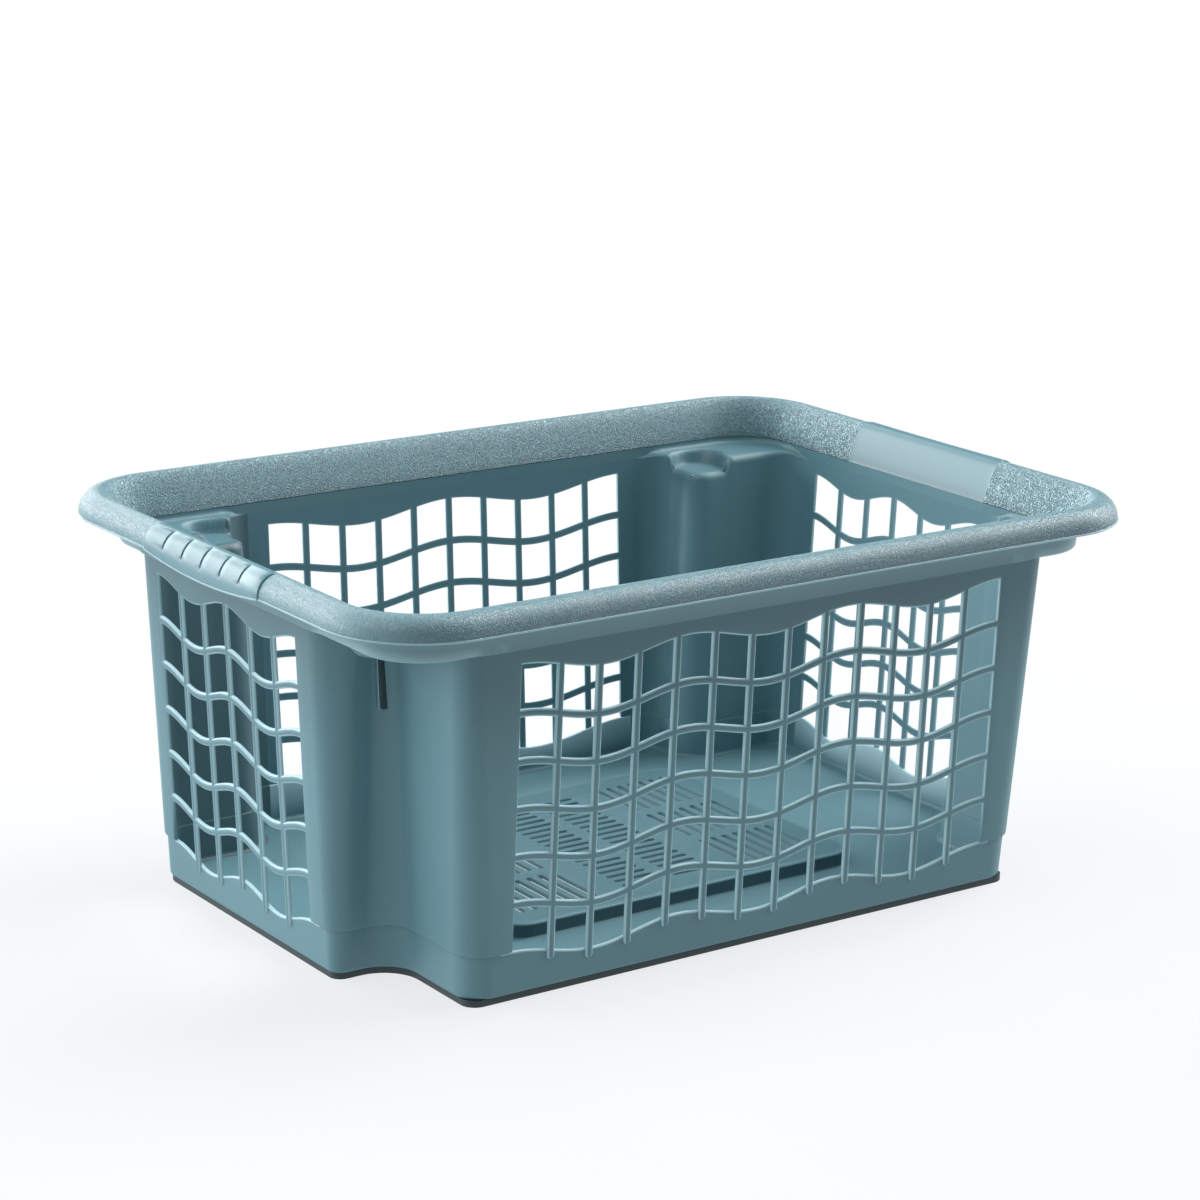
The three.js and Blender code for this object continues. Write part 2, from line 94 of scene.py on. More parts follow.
class BasketCorners(bpy.types.PropertyGroup):
    """Recesses, ledges, scoops and ribs."""
    bite_depth: length(0.043, "Shallow side of a recess")
    bite_length: length(0.083, "Long side of a recess")
    hollow: length(0.022, "Inner corner of a recess")
    front_nose: length(0.013, "Column rounding on the front wall")
    nose_taper: length(0.014, "How much rounder the front noses are at the ground than at the top")
    front_heel: length(0.011, "Column rounding on the ends, front corners")
    rear_nose: length(0.015, "Column rounding on the rear wall")
    rear_heel: length(0.016, "Column rounding on the ends, rear corners")
    rim_radius: length(0.028, "Rounding of the whole corner at the rim")
    front_flat: length(0.010, "Flat strip beside the front openings")
    rear_flat: length(0.0075, "Flat strip beside the rear openings")
    end_front_flat: length(0.00675, "Flat strip beside an end's opening, front corners")
    end_rear_flat: length(0.00675, "Flat strip beside an end's opening, rear corners")
    ledge_top: length(0.224, "Seat for the basket stacked above")
    ledge_thickness: length(0.0025, "Thickness of the ledge")
    ledge_round: length(0.006, "Rounding of the ledge's inner edge")
    ledge_lead: length(0.0125, "How far a ledge's lines run ahead along the rim")
    ledge_fillet: length(0.0042, "Hollow between ledge and rim")
    boss_fillet: length(0.0055, "Hollow between a column and the underside of its ledge")
    scoop_across: length(0.02025, "Scoop centre from the inner corner, shallow way")
    scoop_along: length(0.0185, "Scoop centre from the inner corner, long way")
    scoop_long: length(0.0295, "Top radius of the scoop towards the corner")
    scoop_short: length(0.0225, "Top radius of the scoop to the side")
    scoop_slope: length(0.0055, "Width of the scoop's sloping wall")
    scoop_depth: length(0.0095, "Depth of the scoop")
    scoop_wall: length(0.00225, "Thickness of the scoop")
    rib_near: length(0.0115, "Where a rib starts, from the inner corner")
    rib_lead: length(0.0029, "How much further out a rib starts at its top")
    rib_far: length(0.0193, "Where a rib ends at its top, from the inner corner")
    rib_taper: length(0.0015, "How much less a rib stands out at its lower end")
    rib_along: length(0.0100, "Place of a rib along the recess")
    rib_thickness: length(0.0025, "Thickness of a rib")
    rib_bottom: length(0.1715, "Lower end of a rib")


class BasketNet(bpy.types.PropertyGroup):
    """The open walls."""
    top: length(0.2075, "Mean height of the top of the openings")
    pitch: length(0.030, "Height from one cross bar to the next")
    rows: count(5, "Rows of closed openings")
    bar: length(0.005, "Width of uprights and cross bars")
    crown: length(0.0014, "How far a bar's sides fall away from its crest")
    wave: length(0.0046, "Rise of the wave above its mean")
    long_frame: length(0.0075, "Plain strip beside the long walls' openings")
    end_frame_front: length(0.0082, "Plain strip beside the ends' first opening")
    end_frame_rear: length(0.0024, "Plain strip beside the ends' last opening")
    foot_overlap: length(0.006, "How far an upright's foot runs down the band")
    front_columns: count(13, "Openings along the front wall")
    rear_columns: count(10, "Openings along the rear wall")
    end_columns: count(6, "Openings along each end")
    front_waves: count(3, "Waves of a cross bar along the front wall")
    rear_waves: count(2, "Waves of a cross bar along the rear wall")
    end_waves: count(2, "Waves of a cross bar along each end")


class BasketRim(bpy.types.PropertyGroup):
    """Rim and hand grips."""
    crest: length(0.255, "Highest line of the rim")
    crest_out: length(0.0113, "Crest, out from the wall")
    overhang: length(0.025, "Lip, out from the wall")
    lip: length(0.240, "Lower edge of the lip")
    flare_start: length(0.228, "Where the rim leaves the wall")
    thickness: length(0.0024, "Thickness of the rim")
    bead: length(0.0007, "Rounded bead along the lip")
    grip_length: length(0.146, "Length of a hand grip")
    grip_proud: length(0.001, "How far a grip stands proud of the rim")
    grip_belly: length(0.006, "Sag of the grip's lip at its middle")
    grooves: count(5, "Finger grooves on a grip")
    groove_pitch: length(0.024, "From one finger groove to the next")
    groove_width: length(0.0024, "Width of a finger groove")
    groove_depth: length(0.0012, "Depth of a finger groove")


class BasketFloor(bpy.types.PropertyGroup):
    """Raised floor panel with its vent slots."""
    panel_length: length(0.272, "Length of the raised panel")
    panel_width: length(0.214, "Width of the raised panel")
    panel_top: length(0.01575, "Height of the raised panel")
    panel_thickness: length(0.0025, "Thickness of the raised panel")
    panel_radius: length(0.018, "Rounding of the panel's corners")
    edge_round: length(0.002, "Rounding of the panel's upper edge")
    slot_width: length(0.004, "Width of a vent slot")
    slot_pitch: length(0.009, "From one slot to the next")
    slot_margin: length(0.020, "Plain border round the slots")
    slot_gap: length(0.010, "Gap between rows of slots")
    slot_rows: count(3, "Rows of slots in the outer fields")
    outer_slots: count(7, "Slots in each row of the outer fields")
    middle_slot: length(0.030, "Length of the middle field's slots")


class BasketLook(bpy.types.PropertyGroup):
    """Colours and finishes."""
    teal: colour((0.088, 0.204, 0.242), "Body colour of the plastic")
    grip_teal: colour((0.104, 0.228, 0.268), "Colour of the smooth grips")
    matte: share(0.48, "Roughness of walls and floor")
    satin: share(0.34, "Roughness of the grips")
    # The colour and strength of the painted highlight along thin edges
    edge_highlight_teal: colour((0.40, 0.60, 0.66), "Colour of the thin edges, where light comes through")
    edge_light: share(0.9, "How strongly the thin edges show")
    shade: share(1.0, "How strongly creases and sheltered places are shaded")
    shade_tone: share(0.15, "Tone of a fully shaded place")
    # The grain's ridge colour is a painted highlight and its crease tone painted shade
    ridge_highlight_teal: colour((0.215, 0.40, 0.46), "Colour of the grain's ridges")
    crease_shade_tone: share(0.78, "Tone of the grain's creases")
    foot_tone: share(0.16, "Tone of the foot, which stands in its own shade")
    grain: length(0.0015, "Size of one wrinkle of the rim's grain")
    grain_depth: length(0.0004, "Depth of the rim's grain")
    fine_depth: length(0.00003, "Depth of the walls' fine texture")


class BasketStage(bpy.types.PropertyGroup):
    """Floor, light and camera."""
    paper: colour((0.10, 0.1025, 0.105), "Colour of the pale floor")
    paper_glow: share(0.76, "Light that the floor gives off, as a light table does")
    sky: colour((0.93, 0.96, 1.0), "Colour of the light from all round")
    sky_strength: share(0.05, "Strength of the light from all round")
    behind_left: share(2.5, "Strength of the light from behind on the left")
    low_left: share(1.2, "Strength of the low light from the left")
    top_left: share(1.3, "Strength of the light from above on the left")
    top_right: share(3.2, "Strength of the light from above on the right")
    right: share(2.1, "Strength of the light from the right")
    behind: share(1.85, "Strength of the light from behind")
    lens: FloatProperty(default=102.39, unit="CAMERA", description="Focal length of the camera")


GROUPS = (BasketBody, BasketCorners, BasketNet, BasketRim, BasketFloor, BasketLook, BasketStage)


def settings(group):
    """The scene's values of one property group."""
    return getattr(bpy.context.scene, "basket_" + group)


def short_name(group):
    """What a property group is about, in one word."""
    return group.__name__.replace("Basket", "")


# Outline of the basket

# Steps round the arcs of a corner, and the largest distances between the stations of its two paths
NOSE_STEPS = 14
HOLLOW_STEPS = 26
RIM_STEPS = 12
RECESS_SPACING = 0.0016
RIM_SPACING = 0.004


class Station:
    """A place on the outline, with the direction that faces out of the basket there."""

    def __init__(self, x, y, nx, ny, taper=0.0):
        self.x = x
        self.y = y
        self.nx = nx
        self.ny = ny
        self.taper = taper

    def at(self, z, offset=0.0, sharpened=True):
        """The point at height z on the leaning wall, moved out by offset. A tapered nose gets sharper
        than its mean towards the top only on the outside."""
        out = math.tan(settings("body").draft) * z + offset
        point = Vector((self.x + self.nx * out, self.y + self.ny * out, z))
        growth = nose_growth(z) if sharpened else max(0.0, nose_growth(z))
        return point + Vector((self.nx - 1, self.ny - 1, 0)) * (self.taper * growth)

    def turned(self, side_x, side_y):
        """The same station in another quarter of the basket."""
        return Station(self.x * side_x, self.y * side_y, self.nx * side_x, self.ny * side_y)

    def between(self, other, part):
        """A station part of the way to another one, on a straight run."""
        ends = ((self.x, other.x), (self.y, other.y), (self.nx, other.nx), (self.ny, other.ny),
                (self.taper, other.taper))
        return Station(*(a + (b - a) * part for a, b in ends))

    def gap(self, other):
        """Distance to another station."""
        return math.hypot(other.x - self.x, other.y - self.y)


def nose_growth(z):
    """How much rounder than its mean a tapered column nose is at height z."""
    body, sizes = settings("body"), settings("corners")
    return sizes.nose_taper * (0.5 - z / body.shoulder_height)


def turn(centre_x, centre_y, radius, start, end, steps, hollow=False):
    """Stations round an arc, given in degrees. On a hollow arc outwards is towards its centre."""
    side = -1 if hollow else 1
    stations = []
    for i in range(steps + 1):
        angle = math.radians(start + (end - start) * i / steps)
        nx, ny = math.cos(angle), math.sin(angle)
        stations.append(Station(centre_x + radius * nx, centre_y + radius * ny, side * nx, side * ny))
    return stations


def filled(stations, spacing):
    """The same stations with more between them wherever they are further apart than spacing."""
    result = [stations[0]]
    for here, there in zip(stations, stations[1:]):
        steps = max(1, math.ceil(here.gap(there) / spacing))
        result += [here.between(there, i / steps) for i in range(1, steps + 1)]
    return result


def along_path(stations):
    """How far along the path each station lies."""
    far = [0.0]
    for here, there in zip(stations, stations[1:]):
        far.append(far[-1] + here.gap(there))
    return far


def nearest(station, path):
    """Distance from a station to the nearest one of a path."""
    return min(station.gap(other) for other in path)


def at_distance(stations, far, distance):
    """The station at a distance along a path."""
    for i in range(len(far) - 1):
        if distance <= far[i + 1]:
            return stations[i].between(stations[i + 1], (distance - far[i]) / (far[i + 1] - far[i]))
    return stations[-1]


def eased(part):
    """A soft start and end between 0 and 1."""
    part = min(max(part, 0.0), 1.0)
    return part * part * (3 - 2 * part)


def matched(distance, radius, whole, rim_whole):
    """How far along the rim a ledge line ends, from how far along the recess it starts. Both are
    counted from the wall, whose rounding with the radius given comes first."""
    rounding = radius * math.pi / 2
    reach = radius + settings("corners").ledge_lead
    if distance <= rounding:
        return reach * distance / rounding
    return reach + (rim_whole - reach) * (distance - rounding) / (whole - rounding)


def end_span():
    """Where the open panel of an end wall starts and stops along y."""
    sizes = settings("corners")
    half_y = settings("body").base_width / 2
    front = half_y - sizes.bite_length - sizes.front_heel - sizes.end_front_flat
    rear = half_y - sizes.bite_depth - sizes.rear_heel - sizes.end_rear_flat
    return -front, rear


class Corner:
    """One corner, drawn for the quarter with positive x and y and turned into its own quarter."""

    def __init__(self, name):
        body, sizes = settings("body"), settings("corners")
        self.name = name
        self.front = name.startswith("front")
        self.side_x = -1 if name.endswith("left") else 1
        self.side_y = -1 if self.front else 1
        self.half_x = body.base_length / 2
        self.half_y = body.base_width / 2
        bite_x, bite_y = sizes.bite_depth, sizes.bite_length
        self.nose, self.heel, flat = sizes.front_nose, sizes.front_heel, sizes.front_flat
        if not self.front:
            bite_x, bite_y = bite_y, bite_x
            self.nose, self.heel, flat = sizes.rear_nose, sizes.rear_heel, sizes.rear_flat
        self.shallow_x = bite_x < bite_y
        self.inner_x = self.half_x - bite_x
        self.inner_y = self.half_y - bite_y
        self.panel_x = self.inner_x - self.nose - flat
        self.heel_end = self.inner_y - self.heel

    def recess_path(self):
        """Round the recess, from the tangent point on the long wall to the one on the end."""
        hollow = settings("corners").hollow
        nose = turn(self.inner_x - self.nose, self.half_y - self.nose, self.nose, 90, 0, NOSE_STEPS)
        for station in nose:
            station.taper = 1.0 if self.front else 0.0
        inner = turn(self.inner_x + hollow, self.inner_y + hollow, hollow, 180, 270, HOLLOW_STEPS,
                     hollow=True)
        heel = turn(self.half_x - self.heel, self.heel_end, self.heel, 90, 0, NOSE_STEPS)
        return nose + inner + heel

    def full_path(self):
        """Round the whole corner at the rim, between the same two points, as two halves."""
        radius = settings("corners").rim_radius
        x, y = self.half_x - radius, self.half_y - radius
        start = Station(self.inner_x - self.nose, self.half_y, 0, 1)
        end = Station(self.half_x, self.heel_end, 1, 0)
        return [start] + turn(x, y, radius, 90, 45, RIM_STEPS), turn(x, y, radius, 45, 0, RIM_STEPS) + [end]

    def pairs(self):
        """Stations of the recess, each with the rim station that its ledge line runs to and the
        ledge's width there."""
        recess = filled(self.recess_path(), RECESS_SPACING)
        far = along_path(recess)
        innermost = min(range(len(recess)), key=lambda i: recess[i].x + recess[i].y)
        middle, end = far[innermost], far[-1]
        first, second = self.full_path()
        first_far, second_far = along_path(first), along_path(second)
        rim = filled(first, RIM_SPACING) + filled(second, RIM_SPACING)
        result = []
        for station, distance in zip(recess, far):
            if distance <= middle:
                ahead = matched(distance, self.nose, middle, first_far[-1])
                other = at_distance(first, first_far, ahead)
            else:
                back = matched(end - distance, self.heel, end - middle, second_far[-1])
                other = at_distance(second, second_far, second_far[-1] - back)
            width = min(nearest(station, rim), nearest(other, recess))
            result.append((station, other, width))
        return result

    def ends(self):
        """The stations where the corner meets the open panels beside it."""
        front, rear = end_span()
        return (Station(self.panel_x, self.half_y, 0, 1),
                Station(self.half_x, -front if self.front else rear, 1, 0))

    def placed(self, point):
        """A point of the drawing quarter, in this corner's own quarter."""
        return Vector((point.x * self.side_x, point.y * self.side_y, point.z))

    def recess_place(self, across, along, z):
        """A point in the recess, from its inner corner."""
        x, y = (across, along) if self.shallow_x else (along, across)
        return Vector((self.inner_x + x, self.inner_y + y, z))

    def from_recess(self, point):
        """How far a point lies from the recess's inner corner: (shallow way, long way)."""
        x, y = point.x - self.inner_x, point.y - self.inner_y
        return (x, y) if self.shallow_x else (y, x)

    def scoop_share(self, point, widen=0.0, softer=1.0):
        """How deep the scoop is at a plan point, from 0 outside it to 1 on its floor."""
        sizes = settings("corners")
        across, along = self.from_recess(point)
        towards = (across - sizes.scoop_across + along - sizes.scoop_along) * math.sqrt(0.5)
        aside = (along - sizes.scoop_along - across + sizes.scoop_across) * math.sqrt(0.5)
        long_way, short_way = sizes.scoop_long + widen, sizes.scoop_short + widen
        slope = sizes.scoop_slope * softer
        top = math.hypot(towards / long_way, aside / short_way)
        low = math.hypot(towards / (long_way - slope), aside / (short_way - slope))
        if top >= 1:
            return 0.0
        if low <= 1:
            return 1.0
        return eased((1 - top) / ((1 - top) + (low - 1)))


# Making meshes

# Layers on the points: painted light and shade, and the strength of the rim's grain
EDGE = "bright_edge"
GRAIN = "grain_strength"
TOUCHING = 1e-6
CRISP_ANGLE = math.radians(38)


def layer_of(mesh, name=EDGE):
    """A layer of numbers on a mesh's points. EDGE holds painted light and shade: 1 for a painted highlight
    on a thin edge, -1 for deep painted shade. GRAIN tells how strong the rim's wrinkles are."""
    return mesh.verts.layers.float.get(name) or mesh.verts.layers.float.new(name)


def toned(mesh, tone):
    """Gives every point of a mesh the same tone of painted light or shade."""
    layer = layer_of(mesh)
    for vertex in mesh.verts:
        vertex[layer] = tone
    return mesh


def woven(rows, columns):
    """A flat grid of rows by columns points, and its vertices by place."""
    mesh = bmesh.new()
    layer_of(mesh)
    layer_of(mesh, GRAIN)
    bmesh.ops.create_grid(mesh, x_segments=columns - 1, y_segments=rows - 1, size=1.0)
    grid = {}
    for vertex in mesh.verts:
        column = round((vertex.co.x + 1) / 2 * (columns - 1))
        row = round((vertex.co.y + 1) / 2 * (rows - 1))
        grid[row, column] = vertex
    return mesh, grid


def merged(mesh):
    """Joins the points that touch and drops what has no size left."""
    bmesh.ops.remove_doubles(mesh, verts=mesh.verts, dist=TOUCHING)
    bmesh.ops.dissolve_degenerate(mesh, edges=mesh.edges, dist=TOUCHING)


def facing_out(mesh):
    """The mesh with all its faces turned outwards."""
    bmesh.ops.recalc_face_normals(mesh, faces=mesh.faces)
    return mesh


def thickened(mesh):
    """Gives a sheet its second side and the border between, and returns the second side's points."""
    grown = bmesh.ops.extrude_face_region(mesh, geom=mesh.faces[:], use_keep_orig=True)
    return [item for item in grown["geom"] if isinstance(item, bmesh.types.BMVert)]


def softened(mesh, edges, width):
    """Rounds the edges given."""
    bmesh.ops.bevel(mesh, geom=edges, offset=width, segments=2, profile=0.5, affect="EDGES", material=-1)


def swept(sections, closed=False, tones=None, grain=None):
    """A body through sections of equal length. A closed one goes on from its last section to its
    first. tones holds the painted light and shade, a list per section, and grain one list for all of them."""
    mesh, grid = woven(len(sections) + (1 if closed else 0), len(sections[0]) + 1)
    looks, wrinkles = layer_of(mesh), layer_of(mesh, GRAIN)
    for (row, column), vertex in grid.items():
        row = row % len(sections)
        place = column % len(sections[row])
        vertex.co = sections[row][place]
        if tones:
            vertex[looks] = tones[row][place]
        if grain:
            vertex[wrinkles] = grain[place]
    merged(mesh)
    if not closed:
        bmesh.ops.holes_fill(mesh, edges=[edge for edge in mesh.edges if edge.is_boundary], sides=0)
    return facing_out(mesh)


def softly_shaded(mesh):
    """Smooth faces, with the sharper edges kept crisp."""
    for face in mesh.faces:
        face.smooth = True
    for edge in mesh.edges:
        edge.smooth = len(edge.link_faces) == 2 and edge.calc_face_angle(0.0) < CRISP_ANGLE


def shown(name, mesh, finish):
    """An object in the scene, made from a mesh and a finish."""
    data = bpy.data.meshes.new(name)
    mesh.to_mesh(data)
    mesh.free()
    data.materials.append(finish_of(finish))
    made = bpy.data.objects.new(name, data)
    bpy.context.scene.collection.objects.link(made)
    return made


def piece(name, mesh, finish, nodes):
    """Turns a mesh into a piece of the basket that stands for the CAD nodes named."""
    softly_shaded(mesh)
    made = shown(name, mesh, finish)
    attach(made, "root")
    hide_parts(*nodes)


def joined(meshes):
    """Several bodies in one mesh."""
    whole = bmesh.new()
    for mesh in meshes:
        data = bpy.data.meshes.new("part")
        mesh.to_mesh(data)
        mesh.free()
        whole.from_mesh(data)
        bpy.data.meshes.remove(data)
    return whole


# Sections of the walls, as (offset, height) from the bottom up

# Where a wall's inner face ends inside the floor: (outwards, down) from the end of its hollow
FLOOR_SEAM = ((0.0, 0.0007), (0.0006, 0.0013))
# The soft step of a column's inner face, on its upper side: (back, up) from the step
STEP_EASE = ((0.0, 0.001), (0.0003, 0.0002))


def quarter(centre, radius, start, end, steps=5):
    """Points of an arc in a section, in degrees."""
    points = []
    for i in range(steps + 1):
        angle = math.radians(start + (end - start) * i / steps)
        points.append((centre[0] + radius * math.cos(angle), centre[1] + radius * math.sin(angle)))
    return points


def band_outside():
    """The lower band's outer face, from under the foot's edge up to its face."""
    body = settings("body")
    radius = body.band_round
    centre = (-body.band_step - radius, body.foot_height + radius)
    return [(centre[0] - radius, body.foot_height)] + quarter(centre, radius, -90, 0)


def band_inside():
    """The lower band's inner face, from its top edge down into the floor."""
    body = settings("body")
    face = -body.band_step - body.wall
    floor_top = body.foot_height + body.floor_thickness
    fillet = body.floor_fillet
    curve = quarter((face - fillet, floor_top + fillet), fillet, 0, -90, steps=4)
    return curve + [(face - fillet + out, floor_top - down) for out, down in FLOOR_SEAM]


def column_outside():
    """A column's outer face, with the soft step above the lower band."""
    body = settings("body")
    step = body.band_step
    return band_outside() + quarter((-step, body.band_top + step), step, -90, 0, steps=4)


def column_inside():
    """A column's inner face, from above the step down into the floor."""
    body = settings("body")
    face, top = -body.wall, body.band_top
    low = face - body.band_step
    above = [(face - back, top + up) for back, up in STEP_EASE]
    below = [(low + back, top - up) for back, up in reversed(STEP_EASE)]
    return above + below + band_inside()


# Corner shells: column, ledge and scoop in one

# Lines across a ledge, steps of its hollows, and heights where the outside carries the rim's shade
LEDGE_LINES = 84
FILLET_STEPS = 5
ROUNDING_STEPS = 6
SHADE_LEVELS = (0.10, 0.13, 0.16, 0.19, 0.21)
# A ledge has its full form from this width on, and roundings are limited to shares of its width
FULL_LEDGE = 0.006
ROUNDING_SHARE = 0.4
BOSS_FILLET_SHARE = 0.8
# How deep in the rim's wall the ledge's underside and its border lie, as shares of its thickness, and
# how far above the underside the border starts
UNDERSIDE_END = 0.85
BORDER_PLACE = 0.6
BORDER_STEP = 0.0002
# How much softer a scoop's slope is on its underside
UNDERSIDE_SLOPE = 1.8

# Shade of the rim on the walls: its tone, where it begins and the height over which it grows
RIM_SHADE = -0.3
RIM_SHADE_START = 0.11
RIM_SHADE_HEIGHT = 0.11
# Shade on the inside of the columns that have some
INNER_SHADE = {"rear_left": -0.55}
# Painted tones of a scoop, a painted highlight on its lip and the painted shade of a groove at the foot of
# its wall: (strength, where on its wall, how far to each side)
SCOOP_LIP_HIGHLIGHT = (0.25, 0.1, 0.1)
SCOOP_GROOVE_SHADE = (-0.5, 0.93, 0.07)


def rim_shade(z):
    """Shade of the rim on the outer walls under it."""
    return RIM_SHADE * eased((z - RIM_SHADE_START) / RIM_SHADE_HEIGHT)


def scoop_tone(part):
    """A painted highlight on the lip round a scoop and the painted shade of a groove at the foot of its
    wall.
    """
    return sum(strength * eased(1 - abs(part - middle) / side)
               for strength, middle, side in (SCOOP_LIP_HIGHLIGHT, SCOOP_GROOVE_SHADE))


def ledge_growth(width):
    """How far a ledge of this width has grown to its full form, from 0 to 1."""
    return eased(width / FULL_LEDGE)


def ledge_underside(corner, recess, full, width):
    """The hollow at the top of a column, then the ledge's underside as far as inside the rim."""
    body, sizes = settings("body"), settings("corners")
    depth = sizes.scoop_depth + sizes.scoop_wall - sizes.ledge_thickness

    def under(point):
        return body.shoulder_height - depth * corner.scoop_share(point, sizes.scoop_wall, UNDERSIDE_SLOPE)

    near = recess.at(under(recess.at(body.shoulder_height)))
    far = full.at(body.shoulder_height, -body.wall * UNDERSIDE_END)
    reach = (far - near).length
    outwards = (far - near).dot(Vector((recess.nx, recess.ny, 0)))
    radius = min(sizes.boss_fillet, BOSS_FILLET_SHARE * width, max(0.0, outwards))
    hollow = []
    for step in range(FILLET_STEPS):
        angle = math.radians(90 * step / FILLET_STEPS)
        point = near.lerp(far, radius * (1 - math.cos(angle)) / reach)
        point.z = under(point) - radius * (1 - math.sin(angle))
        hollow.append(point)
    flat = []
    start = radius / reach
    for i in range(LEDGE_LINES + 1):
        point = near.lerp(far, start + (1 - start) * i / LEDGE_LINES)
        point.z = under(point)
        flat.append(point)
    return hollow, flat


def ledge_border(full, seat, fillet):
    """The ledge's border, hidden in the rim's wall, and the hollow from there to its seat."""
    body = settings("body")
    hidden = -body.wall * BORDER_PLACE
    points = [full.at(body.shoulder_height + BORDER_STEP, hidden), full.at(seat + fillet, hidden)]
    for offset, rise in quarter((-fillet, fillet), fillet, 0, -90, FILLET_STEPS):
        point = full.at(seat, offset - body.wall)
        point.z = seat + rise
        points.append(point)
    return points


def shell_section(corner, recess, full, width):
    """Points with their tones of painted light and shade: up the outside, out under the ledge, back over
    it with the scoop, and down the inside."""
    body, sizes = settings("body"), settings("corners")
    fillet = min(sizes.ledge_fillet, ROUNDING_SHARE * width)
    round_off = min(sizes.ledge_round, ROUNDING_SHARE * width)
    grown = ledge_growth(width)
    seat = body.shoulder_height + (sizes.ledge_top - body.shoulder_height) * grown
    outside = [recess.at(z, offset) for offset, z in column_outside()]
    outside += [recess.at(z) for z in SHADE_LEVELS]
    hollow, flat = ledge_underside(corner, recess, full, width)
    section = [(point, rim_shade(point.z) * (1 - grown)) for point in outside]
    section += [(point, rim_shade(body.shoulder_height) * (1 - grown)) for point in hollow + flat[:1]]
    section += [(point, 0.0) for point in flat[1:] + ledge_border(full, seat, fillet)]

    start = full.at(seat, -body.wall - fillet)
    edge = recess.at(seat, round_off - body.wall, False)
    for i in range(1, LEDGE_LINES + 1):
        point = start.lerp(edge, i / LEDGE_LINES)
        deep = corner.scoop_share(point)
        point.z = seat - sizes.scoop_depth * deep
        section.append((point, scoop_tone(deep)))

    height = seat - sizes.scoop_depth * corner.scoop_share(edge)
    rounding = quarter((round_off, -round_off), round_off, 90, 180, ROUNDING_STEPS)[1:]
    inside = [recess.at(height + drop, offset - body.wall, False) for offset, drop in rounding]
    inside += [recess.at(z, offset, False) for offset, z in column_inside()]
    section += [(point, INNER_SHADE.get(corner.name, 0.0)) for point in inside]
    return [(corner.placed(point), tone) for point, tone in section]


def corner_shell(corner):
    """The body of one corner from the ground to the ledge."""
    first, last = corner.ends()
    pairs = [(first, first, 0.0)] + corner.pairs() + [(last, last, 0.0)]
    shells = [shell_section(corner, *pair) for pair in pairs]
    return swept([[point for point, _ in shell] for shell in shells],
                 tones=[[tone for _, tone in shell] for shell in shells])


# How far a rib runs up into its scoop, and how its sharper edges are softened
RIB_SINK = 0.0008
RIB_BEVEL = 0.0005
RIB_SHARP = math.radians(50)
RIB_TOUCHING = 0.00001
# A rib's painted tones: painted shade on its sides, a painted highlight on the first part of its thickness
# and a little painted light on its middle
RIB_SIDE_SHADE = -0.85
RIB_EDGE_HIGHLIGHT = 0.9
RIB_FACE_LIGHT = 0.2
RIB_EDGE_WIDTH = 0.0004


def scoop_rib(corner):
    """The short upright rib under a scoop, with its lower end rounded by a third of its width."""
    sizes = settings("corners")
    radius = (sizes.rib_far - sizes.rib_near) / 3
    top = sizes.ledge_top - sizes.scoop_depth - sizes.scoop_wall + RIB_SINK
    low_far = sizes.rib_far - sizes.rib_taper
    outline = [(sizes.rib_near + sizes.rib_lead, top), (sizes.rib_near, sizes.rib_bottom)]
    outline += quarter((low_far - radius, sizes.rib_bottom + radius), radius, -90, 0, steps=6)
    outline += [(sizes.rib_far, top)]
    mesh = bmesh.new()
    layer = layer_of(mesh)
    places = [corner.recess_place(across, sizes.rib_along, z) for across, z in outline]
    mesh.faces.new([mesh.verts.new(place) for place in places])
    shift = (0, sizes.rib_thickness, 0) if corner.shallow_x else (sizes.rib_thickness, 0, 0)
    bmesh.ops.translate(mesh, verts=thickened(mesh), vec=shift)
    facing_out(mesh)
    softened(mesh, [edge for edge in mesh.edges if edge.calc_face_angle(0.0) > RIB_SHARP], RIB_BEVEL)
    half = sizes.rib_thickness / 2
    for vertex in mesh.verts:
        inside = half - abs(corner.from_recess(vertex.co)[1] - sizes.rib_along - half)
        vertex[layer] = RIB_EDGE_HIGHLIGHT if inside < RIB_EDGE_WIDTH else RIB_FACE_LIGHT
        if inside < RIB_TOUCHING:
            vertex[layer] = RIB_SIDE_SHADE
        vertex.co = corner.placed(vertex.co)
    return facing_out(mesh)


# Open walls

# Lines across a bar, as parts of the way from its crest to its side
BAR_LINES = (-1.0, -0.93, -0.78, -0.52, -0.26, 0.0, 0.26, 0.52, 0.78, 0.93, 1.0)
OPEN_LINES = (0.2, 0.4, 0.6, 0.8)
# The frame's edge beside the outermost openings: (back from it, fall as a share of the bars' crown)
FRAME_FALL = 0.36
FRAME_EDGE = ((0.0009, 0.0), (0.0003, 0.12), (0.0, FRAME_FALL))
FRAME_LEAD = 0.0005
# A level line above the openings, where the wave has reached a share of its height
WAVE_LINE = 0.005
WAVE_LINE_SHARE = 0.45
FOOT_ANGLES = (0, 25, 50, 72, 90)
# Where a bar's painted highlight begins on the way to its side, and how soon it is full; the inner side
# has this share of it
HIGHLIGHT_FROM = 0.5
HIGHLIGHT_REACH = 0.35
INNER_EDGE_SHARE = 0.3

# Lines of the net. part is how far a line lies on the way from its bar's crest to its side
Upright = namedtuple("Upright", "place kind part centre", defaults=(0.0, None))
Level = namedtuple("Level", "height kind part waviness", defaults=(None, 0.0))


